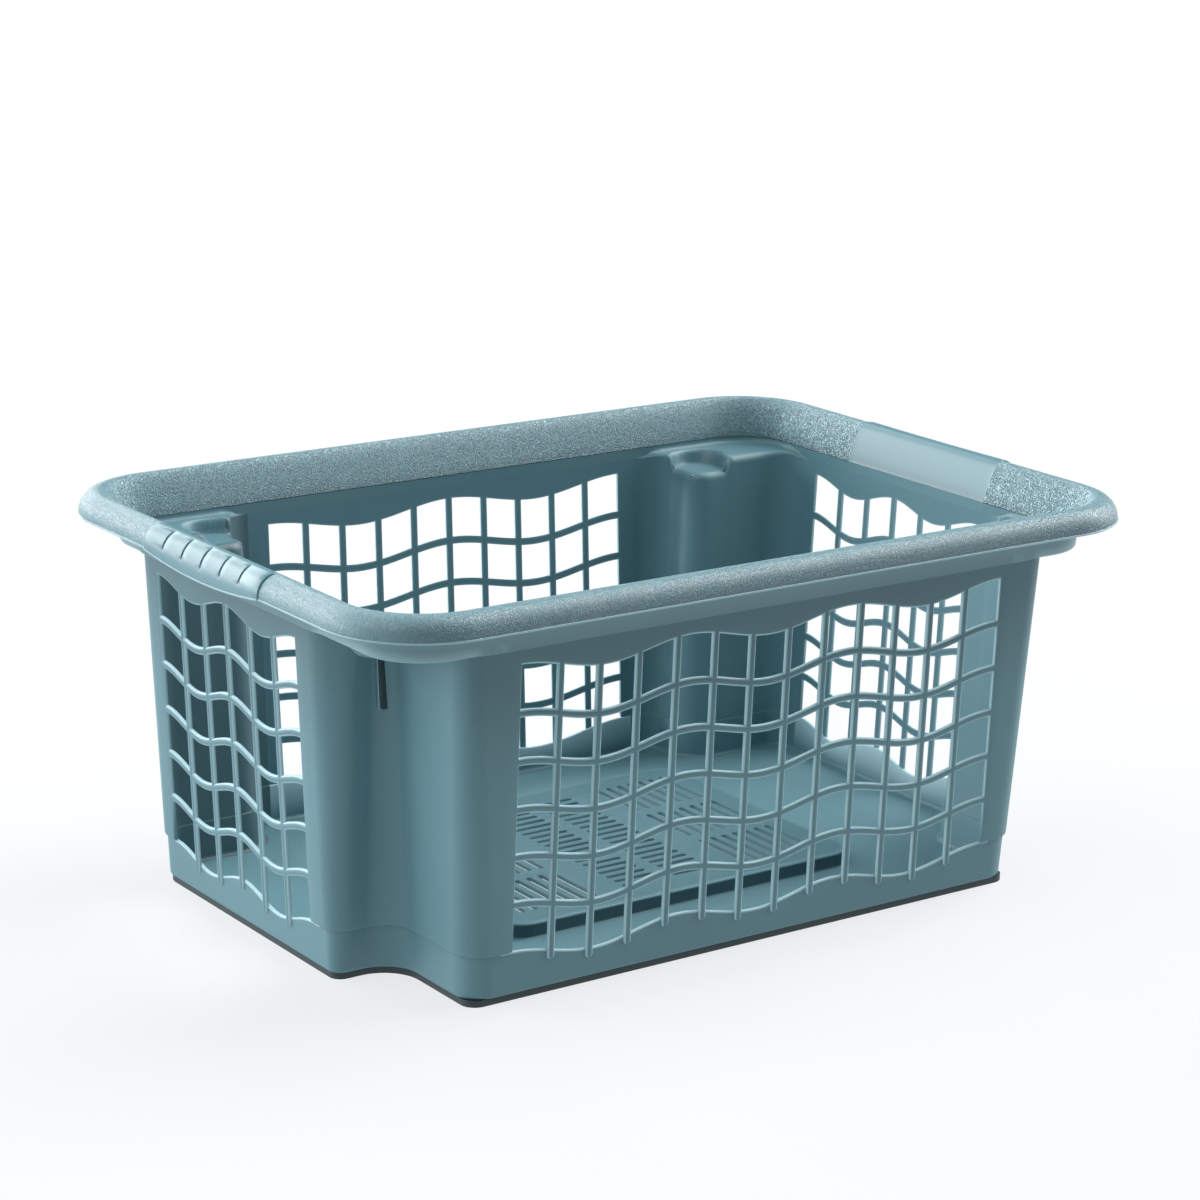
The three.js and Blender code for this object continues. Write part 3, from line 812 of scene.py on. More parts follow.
class Wall:
    """One wall with its openings: where it starts and stops, and its wave."""

    def __init__(self, name):
        body, net = settings("body"), settings("net")
        self.long_way = name in ("front", "rear")
        self.side = -1 if name in ("front", "left") else 1
        kind = name if self.long_way else "end"
        self.columns = getattr(net, kind + "_columns")
        self.waves = getattr(net, kind + "_waves")
        if self.long_way:
            self.high = Corner(name + "_right").panel_x
            self.low = -self.high
            self.start = self.low + net.long_frame
            self.end = self.high - net.long_frame
            self.reach = body.base_width / 2
        else:
            self.low, self.high = end_span()
            self.start = self.low + net.end_frame_front
            self.end = self.high - net.end_frame_rear
            self.reach = body.base_length / 2
        self.pitch = (self.end - self.start) / self.columns

    def station(self, along):
        """The station at a place along the wall."""
        if self.long_way:
            return Station(along, self.side * self.reach, 0, self.side)
        return Station(self.side * self.reach, along, self.side, 0)

    def section_at(self, along, section):
        """The points of a section, at a place along the wall."""
        station = self.station(along)
        return [station.at(z, offset) for offset, z in section]

    def wave(self, along):
        """Height of the wave at a place along the wall."""
        turns = self.waves * (along - self.start) / (self.end - self.start)
        return settings("net").wave * math.cos(2 * math.pi * turns)

    def uprights(self):
        """Centres of the uprights."""
        return [self.start + i * self.pitch for i in range(1, self.columns)]


def bar_level(part):
    """Height of a half-round bar's face below its crest, part of the way to its side."""
    return -settings("net").crown * (1 - math.sqrt(max(0.0, 1 - part * part)))


def net_columns(wall):
    """Upright lines of the net: a frame at each end, and openings and bars by turns."""
    half = settings("net").bar / 2
    lines = [Upright(wall.low, "frame")]
    lines += [Upright(wall.start - back, "frame", fall) for back, fall in FRAME_EDGE]
    lines.append(Upright(wall.start + FRAME_LEAD, "open"))
    first = wall.start
    for centre in wall.uprights() + [wall.end + half]:
        last = centre - half
        lines += [Upright(first + (last - first) * part, "open") for part in OPEN_LINES]
        if centre < wall.end:
            lines += [Upright(centre + part * half, "bar", part, centre) for part in BAR_LINES]
        first = centre + half
    lines.append(Upright(wall.end - FRAME_LEAD, "open"))
    lines += [Upright(wall.end + back, "frame", fall) for back, fall in reversed(FRAME_EDGE)]
    return lines + [Upright(wall.high, "frame")]


def net_rows():
    """Level lines of the net, from the top down. The last ones turn round the uprights' feet."""
    body, net = settings("body"), settings("net")
    half = net.bar / 2
    top = body.shoulder_height
    lines = [Level(top, "band", 0.0), Level(top - WAVE_LINE, "band", 0.0, WAVE_LINE_SHARE)]
    lines += [Level(net.top + half * (1 - part), "band", part, 1.0) for part in BAR_LINES if part >= 0]
    for row in range(1, net.rows + 1):
        centre = net.top - row * net.pitch
        lines += [Level(centre - part * half, "bar", part, 1.0) for part in BAR_LINES]
    return lines + [Level(angle, "foot") for angle in FOOT_ANGLES]


def net_point(wall, column, row):
    """Place of one point of the net on the wall's outer face."""
    heights = []
    if column.kind == "bar":
        heights.append(bar_level(column.part))
    elif column.kind == "frame":
        heights.append(-column.part * settings("net").crown)
    if row.part is not None:
        heights.append(bar_level(row.part))
    out = max(heights, default=0.0)
    if row.kind == "foot":
        return foot_point(wall, column, math.radians(row.height), out)
    return wall.station(column.place).at(row.height + row.waviness * wall.wave(column.place), out)


def foot_point(wall, column, angle, out):
    """A point round the foot of an upright, or where a frame runs into the step of the band."""
    body, net = settings("body"), settings("net")
    if column.kind != "bar":
        step = body.band_step
        return wall.station(column.place).at(body.band_top + step * (1 - math.sin(angle)),
                                             -step + (out + step) * math.cos(angle))
    half = net.bar / 2
    foot = body.band_top - net.wave + wall.wave(column.centre) - net.foot_overlap + half
    along = column.centre + (column.place - column.centre) * math.cos(angle)
    fall = 1 - math.cos(angle) * math.sqrt(max(0.0, 1 - column.part ** 2))
    return wall.station(along).at(foot - half * math.sin(angle), -net.crown * fall)


def edge_share(part):
    """Painted highlight on a bar's edge, part of the way from its crest to its side."""
    return eased((abs(part) - HIGHLIGHT_FROM) / HIGHLIGHT_REACH)


def net_tone(column, row):
    """How much painted highlight a point of the net gets, from how much it lies on the thin edge of an
    opening.
    """
    across = 1.0
    if column.kind == "frame":
        across = min(1.0, column.part / FRAME_FALL)
    elif column.kind == "bar":
        across = edge_share(column.part)
    if row.kind == "foot":
        return across if column.kind == "bar" else 0.0
    return min(across, edge_share(row.part))


def is_open(left, right, above, below):
    """Whether the face between two upright lines and two level ones belongs to an opening."""
    if "open" not in (left.kind, right.kind):
        return False
    if below.kind == "foot":
        return True
    if above.kind == "band":
        return below.kind == "bar"
    return above.part == 1.0 and below.part == -1.0


def net_body(wall):
    """The net of one wall with its band and frames, down to the feet of its uprights."""
    body = settings("body")
    columns, rows = net_columns(wall), net_rows()
    mesh, grid = woven(len(rows), len(columns))
    layer = layer_of(mesh)
    creases = []
    for (row, column), vertex in grid.items():
        upright, level = columns[column], rows[row]
        vertex.co = net_point(wall, upright, level)
        # A painted highlight on the thin edges of openings, elsewhere the rim's painted shade
        vertex[layer] = net_tone(upright, level) or rim_shade(vertex.co.z)
        if upright.kind == "bar" and level.part is not None:
            if abs(abs(upright.part) - abs(level.part)) < TOUCHING:
                creases.append(vertex)
    place_of = {vertex: place for place, vertex in grid.items()}
    holes = []
    for face in mesh.faces:
        row, column = min(place_of[vertex] for vertex in face.verts)
        if is_open(columns[column], columns[column + 1], rows[row], rows[row + 1]):
            holes.append(face)
    bmesh.ops.delete(mesh, geom=holes, context="FACES")
    bmesh.ops.connect_verts(mesh, verts=creases)
    axis = 1 if wall.long_way else 0
    for vertex in thickened(mesh):
        lean = math.tan(body.draft) * vertex.co.z
        vertex.co[axis] = wall.side * (wall.reach + lean - body.wall)
        # The inner side keeps a weaker painted highlight and no painted shade
        vertex[layer] = INNER_EDGE_SHARE * max(0.0, vertex[layer])
    merged(mesh)
    return facing_out(mesh)


# Rounding of the band's wavy edge, how far below the edge its plain face ends, and the places for
# each opening along the wall
BAND_EDGE = 0.0006
BAND_EDGE_LEAD = 0.0016
BAND_EDGE_STEPS = 3
BAND_PLACES = 6


def band_body(wall):
    """The lower band of one wall, with its wavy upper edge."""
    body, net = settings("body"), settings("net")
    steps = wall.columns * BAND_PLACES
    places = [wall.low, wall.start]
    places += [wall.start + (wall.end - wall.start) * i / steps for i in range(1, steps)]
    places += [wall.end, wall.high]
    face = -body.band_step
    back = face - body.wall
    outside, inside = band_outside(), band_inside()
    sections = []
    for along in places:
        top = body.band_top
        if wall.start <= along <= wall.end:
            top += wall.wave(along) - net.wave
        edge = quarter((face - BAND_EDGE, top - BAND_EDGE), BAND_EDGE, 0, 90, BAND_EDGE_STEPS)
        edge += quarter((back + BAND_EDGE, top - BAND_EDGE), BAND_EDGE, 90, 180, BAND_EDGE_STEPS)
        sections.append(wall.section_at(along, outside + [(face, top - BAND_EDGE_LEAD)] + edge + inside))
    # A painted highlight along the band's rounded upper edge
    tones = [0.0] * (len(outside) + 1) + [1.0] * len(edge) + [0.0] * len(inside)
    return swept(sections, tones=[tones] * len(sections))


# Rim and grips

# The flare: depth and rise of the fine line where it leaves the wall, rise of the start of its curve,
# the curve's first handle, (out, up), and how far before the crest its last handle lies. Its section
# has FLARE_FOOT points before the curve
FLARE_LINE = 0.0006
FLARE_LINE_RISE = 0.0003
FLARE_START_RISE = 0.0006
FLARE_HANDLE = (0.0006, 0.0105)
CREST_HANDLE = 0.0065
FLARE_STEPS = 16
FLARE_FOOT = 3
HOOK_STEPS = 14
FOOT_STEPS = 4
# The bead's height in bead widths, and its points: beads out, rim thicknesses back, beads down
BEAD_HEIGHT = 2.3
BEAD_SHAPE = ((0.8, 0, 0.4), (1, 0, 1.3), (0.2, 0, 2.1), (0, 0.5, 2.3), (0, 0.95, 1.7), (0, 1, 0.4))
UNDERSIDE_START = 0.003
# How soon a grip stands proud of the hook: the share at its crest, and its growth down the hook
GRIP_RISE_START = 0.25
GRIP_RISE = 3
# A finger groove's ends on the hook, as parts of the way down it, and how soon it is at its depth
GROOVE_FROM = 0.18
GROOVE_TO = 0.78
GROOVE_REACH = 0.1

# Painted tones of the rim's section, painted shade where below 0 and a painted highlight where above 0,
# with the points or the part of the hook over which each one changes
LINE_SHADE = -0.6
FLARE_SHADE = -0.3
FLARE_TONE_POINTS = 4
HOOK_SHADE = -0.35
HOOK_TONE_FROM = 0.15
HOOK_TONE_REACH = 0.5
BEAD_HIGHLIGHT = 0.6
BEAD_TONE_POINTS = 3
LOWER_EDGE_HIGHLIGHT = 0.35
# The grain is full on the flare and has this much less over the crest, within so many points. Where it is
# fainter, so is its painted highlight on the ridges, so the hook is painted less light than the flare
GRAIN_LOSS = 0.6
GRAIN_LOSS_LEAD = 2
GRAIN_LOSS_POINTS = 5
# How far past its recess a rim corner's lower edge is square again
CORNER_STOP = 0.0005


def bezier(points, steps):
    """Points of a cubic curve."""
    result = []
    for i in range(steps + 1):
        t = i / steps
        weights = ((1 - t) ** 3, 3 * t * (1 - t) ** 2, 3 * t * t * (1 - t), t ** 3)
        result.append(tuple(sum(w * p[k] for w, p in zip(weights, points)) for k in (0, 1)))
    return result


def flare_line(line=FLARE_LINE, proud=0.0):
    """The rim's inner face, from the wall's top up to just before the crest."""
    body, rim = settings("body"), settings("rim")
    face, low = -body.wall, rim.flare_start
    out, up = FLARE_HANDLE
    handles = [(face + proud, low + FLARE_START_RISE), (out + proud, low + up),
               (rim.crest_out - CREST_HANDLE, rim.crest), (rim.crest_out, rim.crest)]
    foot = [(face, body.shoulder_height), (face, low), (face + line, low + FLARE_LINE_RISE)]
    return foot + bezier(handles, FLARE_STEPS)[:-1]


def hook_line():
    """The rim's outer face from the crest down to the lip."""
    rim = settings("rim")
    end = rim.lip + BEAD_HEIGHT * rim.bead
    out, drop = rim.overhang - rim.crest_out, rim.crest - end
    angles = [math.radians(90 - 90 * i / HOOK_STEPS) for i in range(HOOK_STEPS + 1)]
    return [(rim.crest_out + out * math.cos(angle), end + drop * math.sin(angle)) for angle in angles]


def bead_line(lip):
    """The rounded bead at the lip's lower edge, from its outer side to its inner side."""
    rim = settings("rim")
    x, z = lip
    return [(x + rim.bead * out - rim.thickness * back, z - rim.bead * down)
            for out, back, down in BEAD_SHAPE]


def under_line(face):
    """The underside that follows a face at the rim's thickness, from the lip back to the wall."""
    wall = settings("rim").thickness
    points = []
    for i in range(1, len(face) - 1):
        dx, dz = face[i + 1][0] - face[i - 1][0], face[i + 1][1] - face[i - 1][1]
        run = math.hypot(dx, dz)
        points.append((face[i][0] + wall * dz / run, face[i][1] - wall * dx / run))
    return points[::-1]


def groove_share(part):
    """How deep a finger groove is, part of the way from the crest to the lip."""
    return eased((part - GROOVE_FROM) / GROOVE_REACH) * eased((GROOVE_TO - part) / GROOVE_REACH)


def rim_section(bottom=0.0, proud=0.0, sag=0.0, groove=0.0, line=FLARE_LINE, face_proud=0.0):
    """The rim's closed section as (offset, height). bottom rounds its lower outer edge."""
    body, rim = settings("body"), settings("rim")
    flare = flare_line(line, face_proud)
    hook = []
    for i, (x, z) in enumerate(hook_line()):
        part = i / HOOK_STEPS
        angle = math.radians(90 * part)
        away = sag * (rim.crest - z) / (rim.crest - rim.lip)
        lift = proud * min(1.0, part * GRIP_RISE + GRIP_RISE_START) - groove * groove_share(part)
        hook.append((x + lift * math.sin(angle), z - away + lift * math.cos(angle)))
    face = flare[FLARE_FOOT:] + hook
    under = [point for point in under_line(face) if point[1] > rim.flare_start + UNDERSIDE_START]
    radius = body.wall * bottom
    foot = quarter((-radius, body.shoulder_height + radius), radius, 0, -90, FOOT_STEPS)
    return flare + hook + bead_line(hook[-1]) + under + [(0.0, face[0][1])] + foot


def rim_tones(bottom=0.0, groove=0.0, shaded=0.0):
    """Painted tones of the rim's section: painted shade where the flare starts, a painted highlight along
    the bead at the lip and along the lower edge, with the painted tone of a grip's groove in between.
    shaded is the share of painted shade low on the hook."""
    flare = [0.0, 0.0, LINE_SHADE]
    flare += [FLARE_SHADE * eased(1 - i / FLARE_TONE_POINTS) for i in range(FLARE_STEPS)]
    hook = []
    for i in range(HOOK_STEPS + 1):
        part = i / HOOK_STEPS
        shade = HOOK_SHADE * shaded * eased((part - HOOK_TONE_FROM) / HOOK_TONE_REACH)
        hook.append(groove * groove_share(part) + shade)
    tones = flare + hook + [BEAD_HIGHLIGHT] * BEAD_TONE_POINTS
    foot = [LOWER_EDGE_HIGHLIGHT * bottom] * (FOOT_STEPS + 1)
    return tones + [0.0] * (len(rim_section()) - len(tones) - len(foot)) + foot


def rim_grain():
    """Strength of the wrinkles round the rim's section: full on the flare, fainter over the crest and
    down the hook."""
    plain = [0.0] * FLARE_FOOT
    steps = range(-FLARE_STEPS, HOOK_STEPS + 1)
    wrinkled = [1 - GRAIN_LOSS * eased((i + GRAIN_LOSS_LEAD) / GRAIN_LOSS_POINTS) for i in steps]
    return plain + wrinkled + [0.0] * (len(rim_section()) - len(plain) - len(wrinkled))


def rim_corner(corner):
    """The rim round one corner, from the long wall's panel to the hand grip."""
    first, _ = corner.ends()
    stations = [(first, 0.0)]
    stations += [(full, ledge_growth(width)) for _, full, width in corner.pairs()]
    for along in (corner.heel_end - CORNER_STOP, settings("rim").grip_length / 2):
        stations.append((Station(corner.half_x, along, 1, 0), 0.0))
    sections = [[corner.placed(station.at(z, offset)) for offset, z in rim_section(bottom)]
                for station, bottom in stations]
    tones = [rim_tones(bottom, shaded=station.ny ** 2) for station, bottom in stations]
    return swept(sections, tones=tones, grain=rim_grain())


def rim_straight(wall):
    """The straight rim over a long wall."""
    sections = [wall.section_at(along, rim_section()) for along in (wall.low, wall.high)]
    return swept(sections, tones=[rim_tones(shaded=1.0)] * len(sections), grain=rim_grain())


# Lines of a grip at its front and rear end: (distance from the end, how far it stands proud)
GRIP_FRONT = ((0.0, -0.3), (0.0006, -0.3), (0.001, 0.75), (0.0016, 1.0), (0.008, 1.0))
GRIP_REAR = ((0.008, 1.0), (0.0024, 1.0), (0.0016, 0.85), (0.0008, 0.2), (0.0, 0.0))
GRIP_FACE_PROUD = 0.0003
# Lines of a finger groove: (part of its half width, share of its depth, tone); the tone is a painted
# highlight on its front side and painted shade at its middle and behind it
GROOVE_LINES = ((-1.0, 0.0, 0.5), (-0.72, 0.4, 0.7), (-0.38, 0.85, 0.0), (0.0, 1.0, -1.0),
                (0.38, 0.85, -0.7), (0.72, 0.4, 0.0), (1.0, 0.0, 0.0))
BETWEEN_GROOVES = (0.3, 0.5, 0.7)

# A line across a grip: its place, how far it stands proud, its groove's depth and its tone of painted
# light or shade
GripLine = namedtuple("GripLine", "along proud groove tone", defaults=(1.0, 0.0, 0.0))


def grip_lines():
    """Lines along a grip from its front end to its rear end."""
    rim = settings("rim")
    half = rim.grip_length / 2
    lines = [GripLine(away - half, proud) for away, proud in GRIP_FRONT]
    for i in range(rim.grooves):
        centre = (i - (rim.grooves - 1) / 2) * rim.groove_pitch
        if i > 0:
            lines += [GripLine(centre - rim.groove_pitch * (1 - part)) for part in BETWEEN_GROOVES]
        lines += [GripLine(centre + part * rim.groove_width / 2, 1.0, deep, tone)
                  for part, deep, tone in GROOVE_LINES]
    return lines + [GripLine(half - away, proud) for away, proud in GRIP_REAR]


def hand_grip(wall):
    """A smooth hand grip: proud of the rim, with finger grooves and a sagging lip."""
    rim = settings("rim")
    sections, tones = [], []
    for line in grip_lines():
        section = rim_section(proud=rim.grip_proud * line.proud, line=0.0,
                              sag=rim.grip_belly * (1 - (2 * line.along / rim.grip_length) ** 2),
                              groove=rim.groove_depth * line.groove,
                              face_proud=GRIP_FACE_PROUD * max(line.proud, 0.0))
        sections.append(wall.section_at(line.along, section))
        tones.append(rim_tones(groove=line.tone))
    return swept(sections, tones=tones)


# Floor

# The raised panel's flat starts this far inside its edge, and its slots this far or more
PANEL_INSET = 0.004
SLOT_ZONE = 0.01
SLOT_BEVEL = 0.0004
SLOT_SHARP = math.radians(60)
# The hollow at the riser's foot, how deep it ends in the channel's floor, and how much lower than the
# panel's underside the riser's back starts
RISER_FILLET = 0.0015
RISER_SINK = 0.0008
RISER_UNDER = 0.0007
# The channel's floor: how far its underside lies above the foot, how far inside the basket's outline
# its outer edge lies, hidden by the walls' hollow, and how far its inner edge reaches under the riser
CHANNEL_LIFT = 0.0001
CHANNEL_OUTER = 0.0062
CHANNEL_INNER = 0.001
# The foot ring's two faces, from the outline, its softened edges and how far it runs into the band
FOOT_OUTSIDE = -0.003
FOOT_INSIDE = -0.009
FOOT_EDGE = 0.0004
FOOT_OVERLAP = 0.0004

# Painted shade on the riser and on the raised panel, and painted light on the channel's floor
RISER_SHADE = -0.6
PANEL_SHADE = -0.22
CHANNEL_LIGHT = 0.08


def panel_stations():
    """Stations round the raised panel's outline, counterclockwise."""
    sizes = settings("floor")
    radius = sizes.panel_radius
    x, y = sizes.panel_length / 2 - radius, sizes.panel_width / 2 - radius
    corners = ((x, y, 0), (-x, y, 90), (-x, -y, 180), (x, -y, 270))
    return [station for cx, cy, start in corners
            for station in turn(cx, cy, radius, start, start + 90, steps=8)]


def basket_stations():
    """Stations round the whole outline with its four recesses, counterclockwise."""
    stations = []
    for name in ("front_left", "front_right", "rear_right", "rear_left"):
        corner = Corner(name)
        path = [station.turned(corner.side_x, corner.side_y) for station in corner.recess_path()]
        stations += path if corner.side_x != corner.side_y else path[::-1]
    return stations


def upright_at(station, offset, z):
    """A point beside the outline without the walls' lean."""
    return Vector((station.x + station.nx * offset, station.y + station.ny * offset, z))


def ring(stations, section):
    """Sections all along some stations, without the walls' lean."""
    return [[upright_at(station, offset, z) for offset, z in section] for station in stations]


def plan_loop(stations, offset):
    """A loop of plan points beside some stations."""
    return [tuple(upright_at(station, offset, 0).xy) for station in stations]


def plate(loops, low, high):
    """A flat plate from loops of plan points: its outline, then its holes."""
    mesh = bmesh.new()
    edges = []
    for loop in loops:
        points = [mesh.verts.new((x, y, high)) for x, y in loop]
        edges += [mesh.edges.new((a, b)) for a, b in zip(points, points[1:] + points[:1])]
    bmesh.ops.triangle_fill(mesh, edges=edges, use_beauty=True, use_dissolve=False)
    for vertex in thickened(mesh):
        vertex.co.z = low
    return facing_out(mesh)


def slot_loop(centre_x, centre_y, reach, along_x):
    """The outline of one round-ended slot."""
    radius = settings("floor").slot_width / 2
    run = reach / 2 - radius
    shift_x, shift_y, start = (run, 0, 0) if along_x else (0, run, 90)
    loop = []
    for side in (1, -1):
        angle = start - 90 * side
        cap = turn(centre_x + side * shift_x, centre_y + side * shift_y, radius, angle, angle + 180,
                   steps=6)
        loop += [(station.x, station.y) for station in cap]
    return loop


def vent_slots():
    """Three plain fields of slots: two across the basket at the ends, one along it between them."""
    sizes = settings("floor")
    rows, gap, pitch = sizes.slot_rows, sizes.slot_gap, sizes.slot_pitch
    reach = (sizes.panel_width - 2 * sizes.slot_margin - (rows - 1) * gap) / rows
    first_x = sizes.panel_length / 2 - sizes.slot_margin - sizes.slot_width / 2
    first_y = -sizes.panel_width / 2 + sizes.slot_margin + reach / 2
    loops = [slot_loop(side * (first_x - column * pitch), first_y + row * (reach + gap), reach, False)
             for side in (-1, 1) for column in range(sizes.outer_slots) for row in range(rows)]
    span = sizes.panel_width / 2 - sizes.slot_margin - sizes.slot_width / 2
    lines = 2 * int(span / pitch) + 1
    loops += [slot_loop(side * (sizes.middle_slot + gap) / 2, (i - (lines - 1) / 2) * pitch,
                        sizes.middle_slot, True) for i in range(lines) for side in (-1, 1)]
    return loops


def panel_edge():
    """The raised panel's riser with its rounded upper edge, as a band round the panel."""
    body, sizes = settings("body"), settings("floor")
    base = body.foot_height + body.floor_thickness
    top, radius, fillet = sizes.panel_top, sizes.edge_round, RISER_FILLET
    back, under = -sizes.panel_thickness, top - sizes.panel_thickness
    riser = quarter((fillet, base + fillet), fillet, -90, -180, steps=3)
    upper = quarter((-radius, top - radius), radius, 0, 90, steps=5)
    rest = [(-PANEL_INSET, top), (-PANEL_INSET, under), (back, under - RISER_UNDER),
            (back, body.foot_height), (0.0, body.foot_height), (fillet, base - RISER_SINK)]
    # Painted shade on the riser
    tones = [0.0, 0.0] + [RISER_SHADE] * 4 + [0.0] * (len(riser + upper + rest) - 6)
    sections = ring(panel_stations(), riser + upper + rest)
    return swept(sections, closed=True, tones=[tones] * len(sections))


def raised_panel():
    """The flat of the raised panel with its vent slots, their upper edges softened, darkened all over by
    painted shade.
    """
    sizes = settings("floor")
    top = sizes.panel_top
    outline = plan_loop(panel_stations(), -PANEL_INSET)
    mesh = plate([outline] + vent_slots(), top - sizes.panel_thickness, top)
    limit_x, limit_y = sizes.panel_length / 2 - SLOT_ZONE, sizes.panel_width / 2 - SLOT_ZONE

    def on_slot(point):
        return abs(point.z - top) < TOUCHING and abs(point.x) < limit_x and abs(point.y) < limit_y

    edges = [edge for edge in mesh.edges
             if all(on_slot(vertex.co) for vertex in edge.verts) and edge.calc_face_angle(0.0) > SLOT_SHARP]
    softened(mesh, edges, SLOT_BEVEL)
    return toned(mesh, PANEL_SHADE)


def channel_floor():
    """The low floor all round the raised panel, lightened all over by painted light."""
    body = settings("body")
    loops = [plan_loop(basket_stations(), -CHANNEL_OUTER), plan_loop(panel_stations(), -CHANNEL_INNER)]
    mesh = plate(loops, body.foot_height + CHANNEL_LIFT, body.foot_height + body.floor_thickness)
    return toned(mesh, CHANNEL_LIGHT)


def foot_band():
    """The foot ring, set back under the band, with softened lower edges."""
    high = settings("body").foot_height + FOOT_OVERLAP
    section = quarter((FOOT_OUTSIDE - FOOT_EDGE, FOOT_EDGE), FOOT_EDGE, 0, -90, steps=2)
    section += quarter((FOOT_INSIDE + FOOT_EDGE, FOOT_EDGE), FOOT_EDGE, -90, -180, steps=2)
    section += [(FOOT_INSIDE, high), (FOOT_OUTSIDE, high)]
    return swept(ring(basket_stations(), section), closed=True)


# Finishes

# Sizes of the noise patterns, in repeats to the metre
CLOUDS = 9.0
GRIP_CLOUDS = 14.0
PAPER_CLOUDS = 3.0
FINE = 1100.0
GRIP_FINE = 900.0
# Darkest and lightest tone of the clouds on each finish
TEAL_TONES = (0.95, 1.04)
GRAIN_TONES = (0.97, 1.05)
GRIP_TONES = (0.96, 1.05)
PAPER_TONES = (0.99, 1.0)
FOOT_LIGHTER = 1.2
SPECK_SHARE = 0.35
SPECK_TONE = 1.22
FOLD_DISTORTION = 0.8
FOLD_WIDTH = 0.11
# How much the fine texture or the grain's ridges change the roughness
TEAL_ROUGHER = 0.16
RIDGE_SMOOTHER = 0.10
GRAIN_SMOOTHER = 0.06
GRIP_ROUGHER = 0.10
FOOT_ROUGHER = 0.1
GRAIN_SPECULAR = 0.7
GRIP_FINE_DEPTH = 0.4
PAPER_ROUGHNESS = 0.9
PAPER_LIGHT = (0.97, 0.985, 1.0, 1.0)


class Value:
    """A shader number that Python's operators extend with Math nodes."""

    def __init__(self, finish, socket):
        self.finish = finish
        self.socket = socket

    def __add__(self, other):
        return self.finish.sum_of("ADD", self, other)

    def __mul__(self, other):
        return self.finish.sum_of("MULTIPLY", self, other)

    def __sub__(self, other):
        return self.finish.sum_of("SUBTRACT", self, other)

    def __rsub__(self, other):
        return self.finish.sum_of("SUBTRACT", other, self)

    __radd__ = __add__
    __rmul__ = __mul__


class Finish:
    """Builds one material's nodes."""

    def __init__(self, name):
        self.material = bpy.data.materials.new(name)
        self.material.use_nodes = True
        self.tree = self.material.node_tree
        self.tree.nodes.clear()
        self.place = self.node("TexCoord", output=3)

    def node(self, kind, setup=None, inputs=None, output=0):
        """Adds a node: its settings first, then the values or links of its sockets."""
        made = self.tree.nodes.new("ShaderNode" + kind)
        for key, value in (setup or {}).items():
            setattr(made, key, value)
        for key, value in (inputs or {}).items():
            if isinstance(value, Value):
                self.tree.links.new(value.socket, made.inputs[key])
            else:
                made.inputs[key].default_value = value
        return Value(self, made.outputs[output])

    def sum_of(self, operation, first, second):
        """A Math node on two values."""
        return self.node("Math", {"operation": operation}, {0: first, 1: second})

    def noise(self, scale, detail=2.0, **more):
        """A noise pattern in object coordinates."""
        return self.node("TexNoise", inputs={0: self.place, "Scale": scale, "Detail": detail, **more})

    def ramp(self, value, start, end):
        """The value spread so that it runs from 0 at the start to 1 at the end."""
        made = self.node("ValToRGB", inputs={0: value})
        for element, position in zip(made.socket.node.color_ramp.elements, (start, end)):
            element.position = position
        return made

    def mask(self, name):
        """The numbers that a layer holds on the mesh's points."""
        return self.node("Attribute", {"attribute_name": name}, output=2)

    def blend(self, part, first, second):
        """A mix of two colours."""
        return self.node("Mix", {"data_type": "RGBA"}, {0: part, 6: first, 7: second}, output=2)

    def mottled(self, part, rgb, tones):
        """A colour that varies between its darkest and its lightest tone."""
        return self.blend(part, tint(rgb, tones[0]), tint(rgb, tones[1]))

    def edged(self, base):
        """The base colour with a painted highlight along thin edges and painted shade in creases and shaded
        places.
        """
        look = settings("look")
        edge = self.mask(EDGE)
        base = self.blend(edge * look.edge_light, base, tint(look.edge_highlight_teal))
        return self.blend(edge * -look.shade, base, tint(look.teal, look.shade_tone))

    def bump(self, depth, height):
        """A fine relief of the depth given."""
        return self.node("Bump", inputs={"Strength": 1.0, "Distance": depth, "Height": height})

    def finished(self, **sockets):
        """The plastic's shader and its output."""
        names = {"colour": "Base Color", "roughness": "Roughness", "normal": "Normal",
                 "specular": "Specular IOR Level", "glow": "Emission Color",
                 "glow_strength": "Emission Strength"}
        shader = self.node("BsdfPrincipled", inputs={names[key]: value for key, value in sockets.items()})
        end = self.tree.nodes.new("ShaderNodeOutputMaterial")
        self.tree.links.new(shader.socket, end.inputs[0])
        return self.material


def tint(rgb, factor=1.0):
    """A colour made lighter or darker, with its alpha."""
    return tuple(min(1.0, part * factor) for part in rgb) + (1.0,)


def moulded_teal():
    """Fine matte teal of walls, columns and floor, with a painted highlight along the thin edges and
    painted shade in creases and shaded places.
    """
    look = settings("look")
    finish = Finish("Teal plastic, fine matte")
    fine = finish.noise(FINE)
    clouds = finish.ramp(finish.noise(CLOUDS, detail=3.0), start=0.3, end=0.7)
    specks = finish.ramp(fine, start=0.35, end=0.65) * SPECK_SHARE
    base = finish.mottled(clouds, look.teal, TEAL_TONES)
    base = finish.blend(specks, base, tint(look.teal, SPECK_TONE))
    return finish.finished(colour=finish.edged(base), normal=finish.bump(look.fine_depth, fine),
                           roughness=fine * TEAL_ROUGHER + (look.matte - TEAL_ROUGHER / 2))


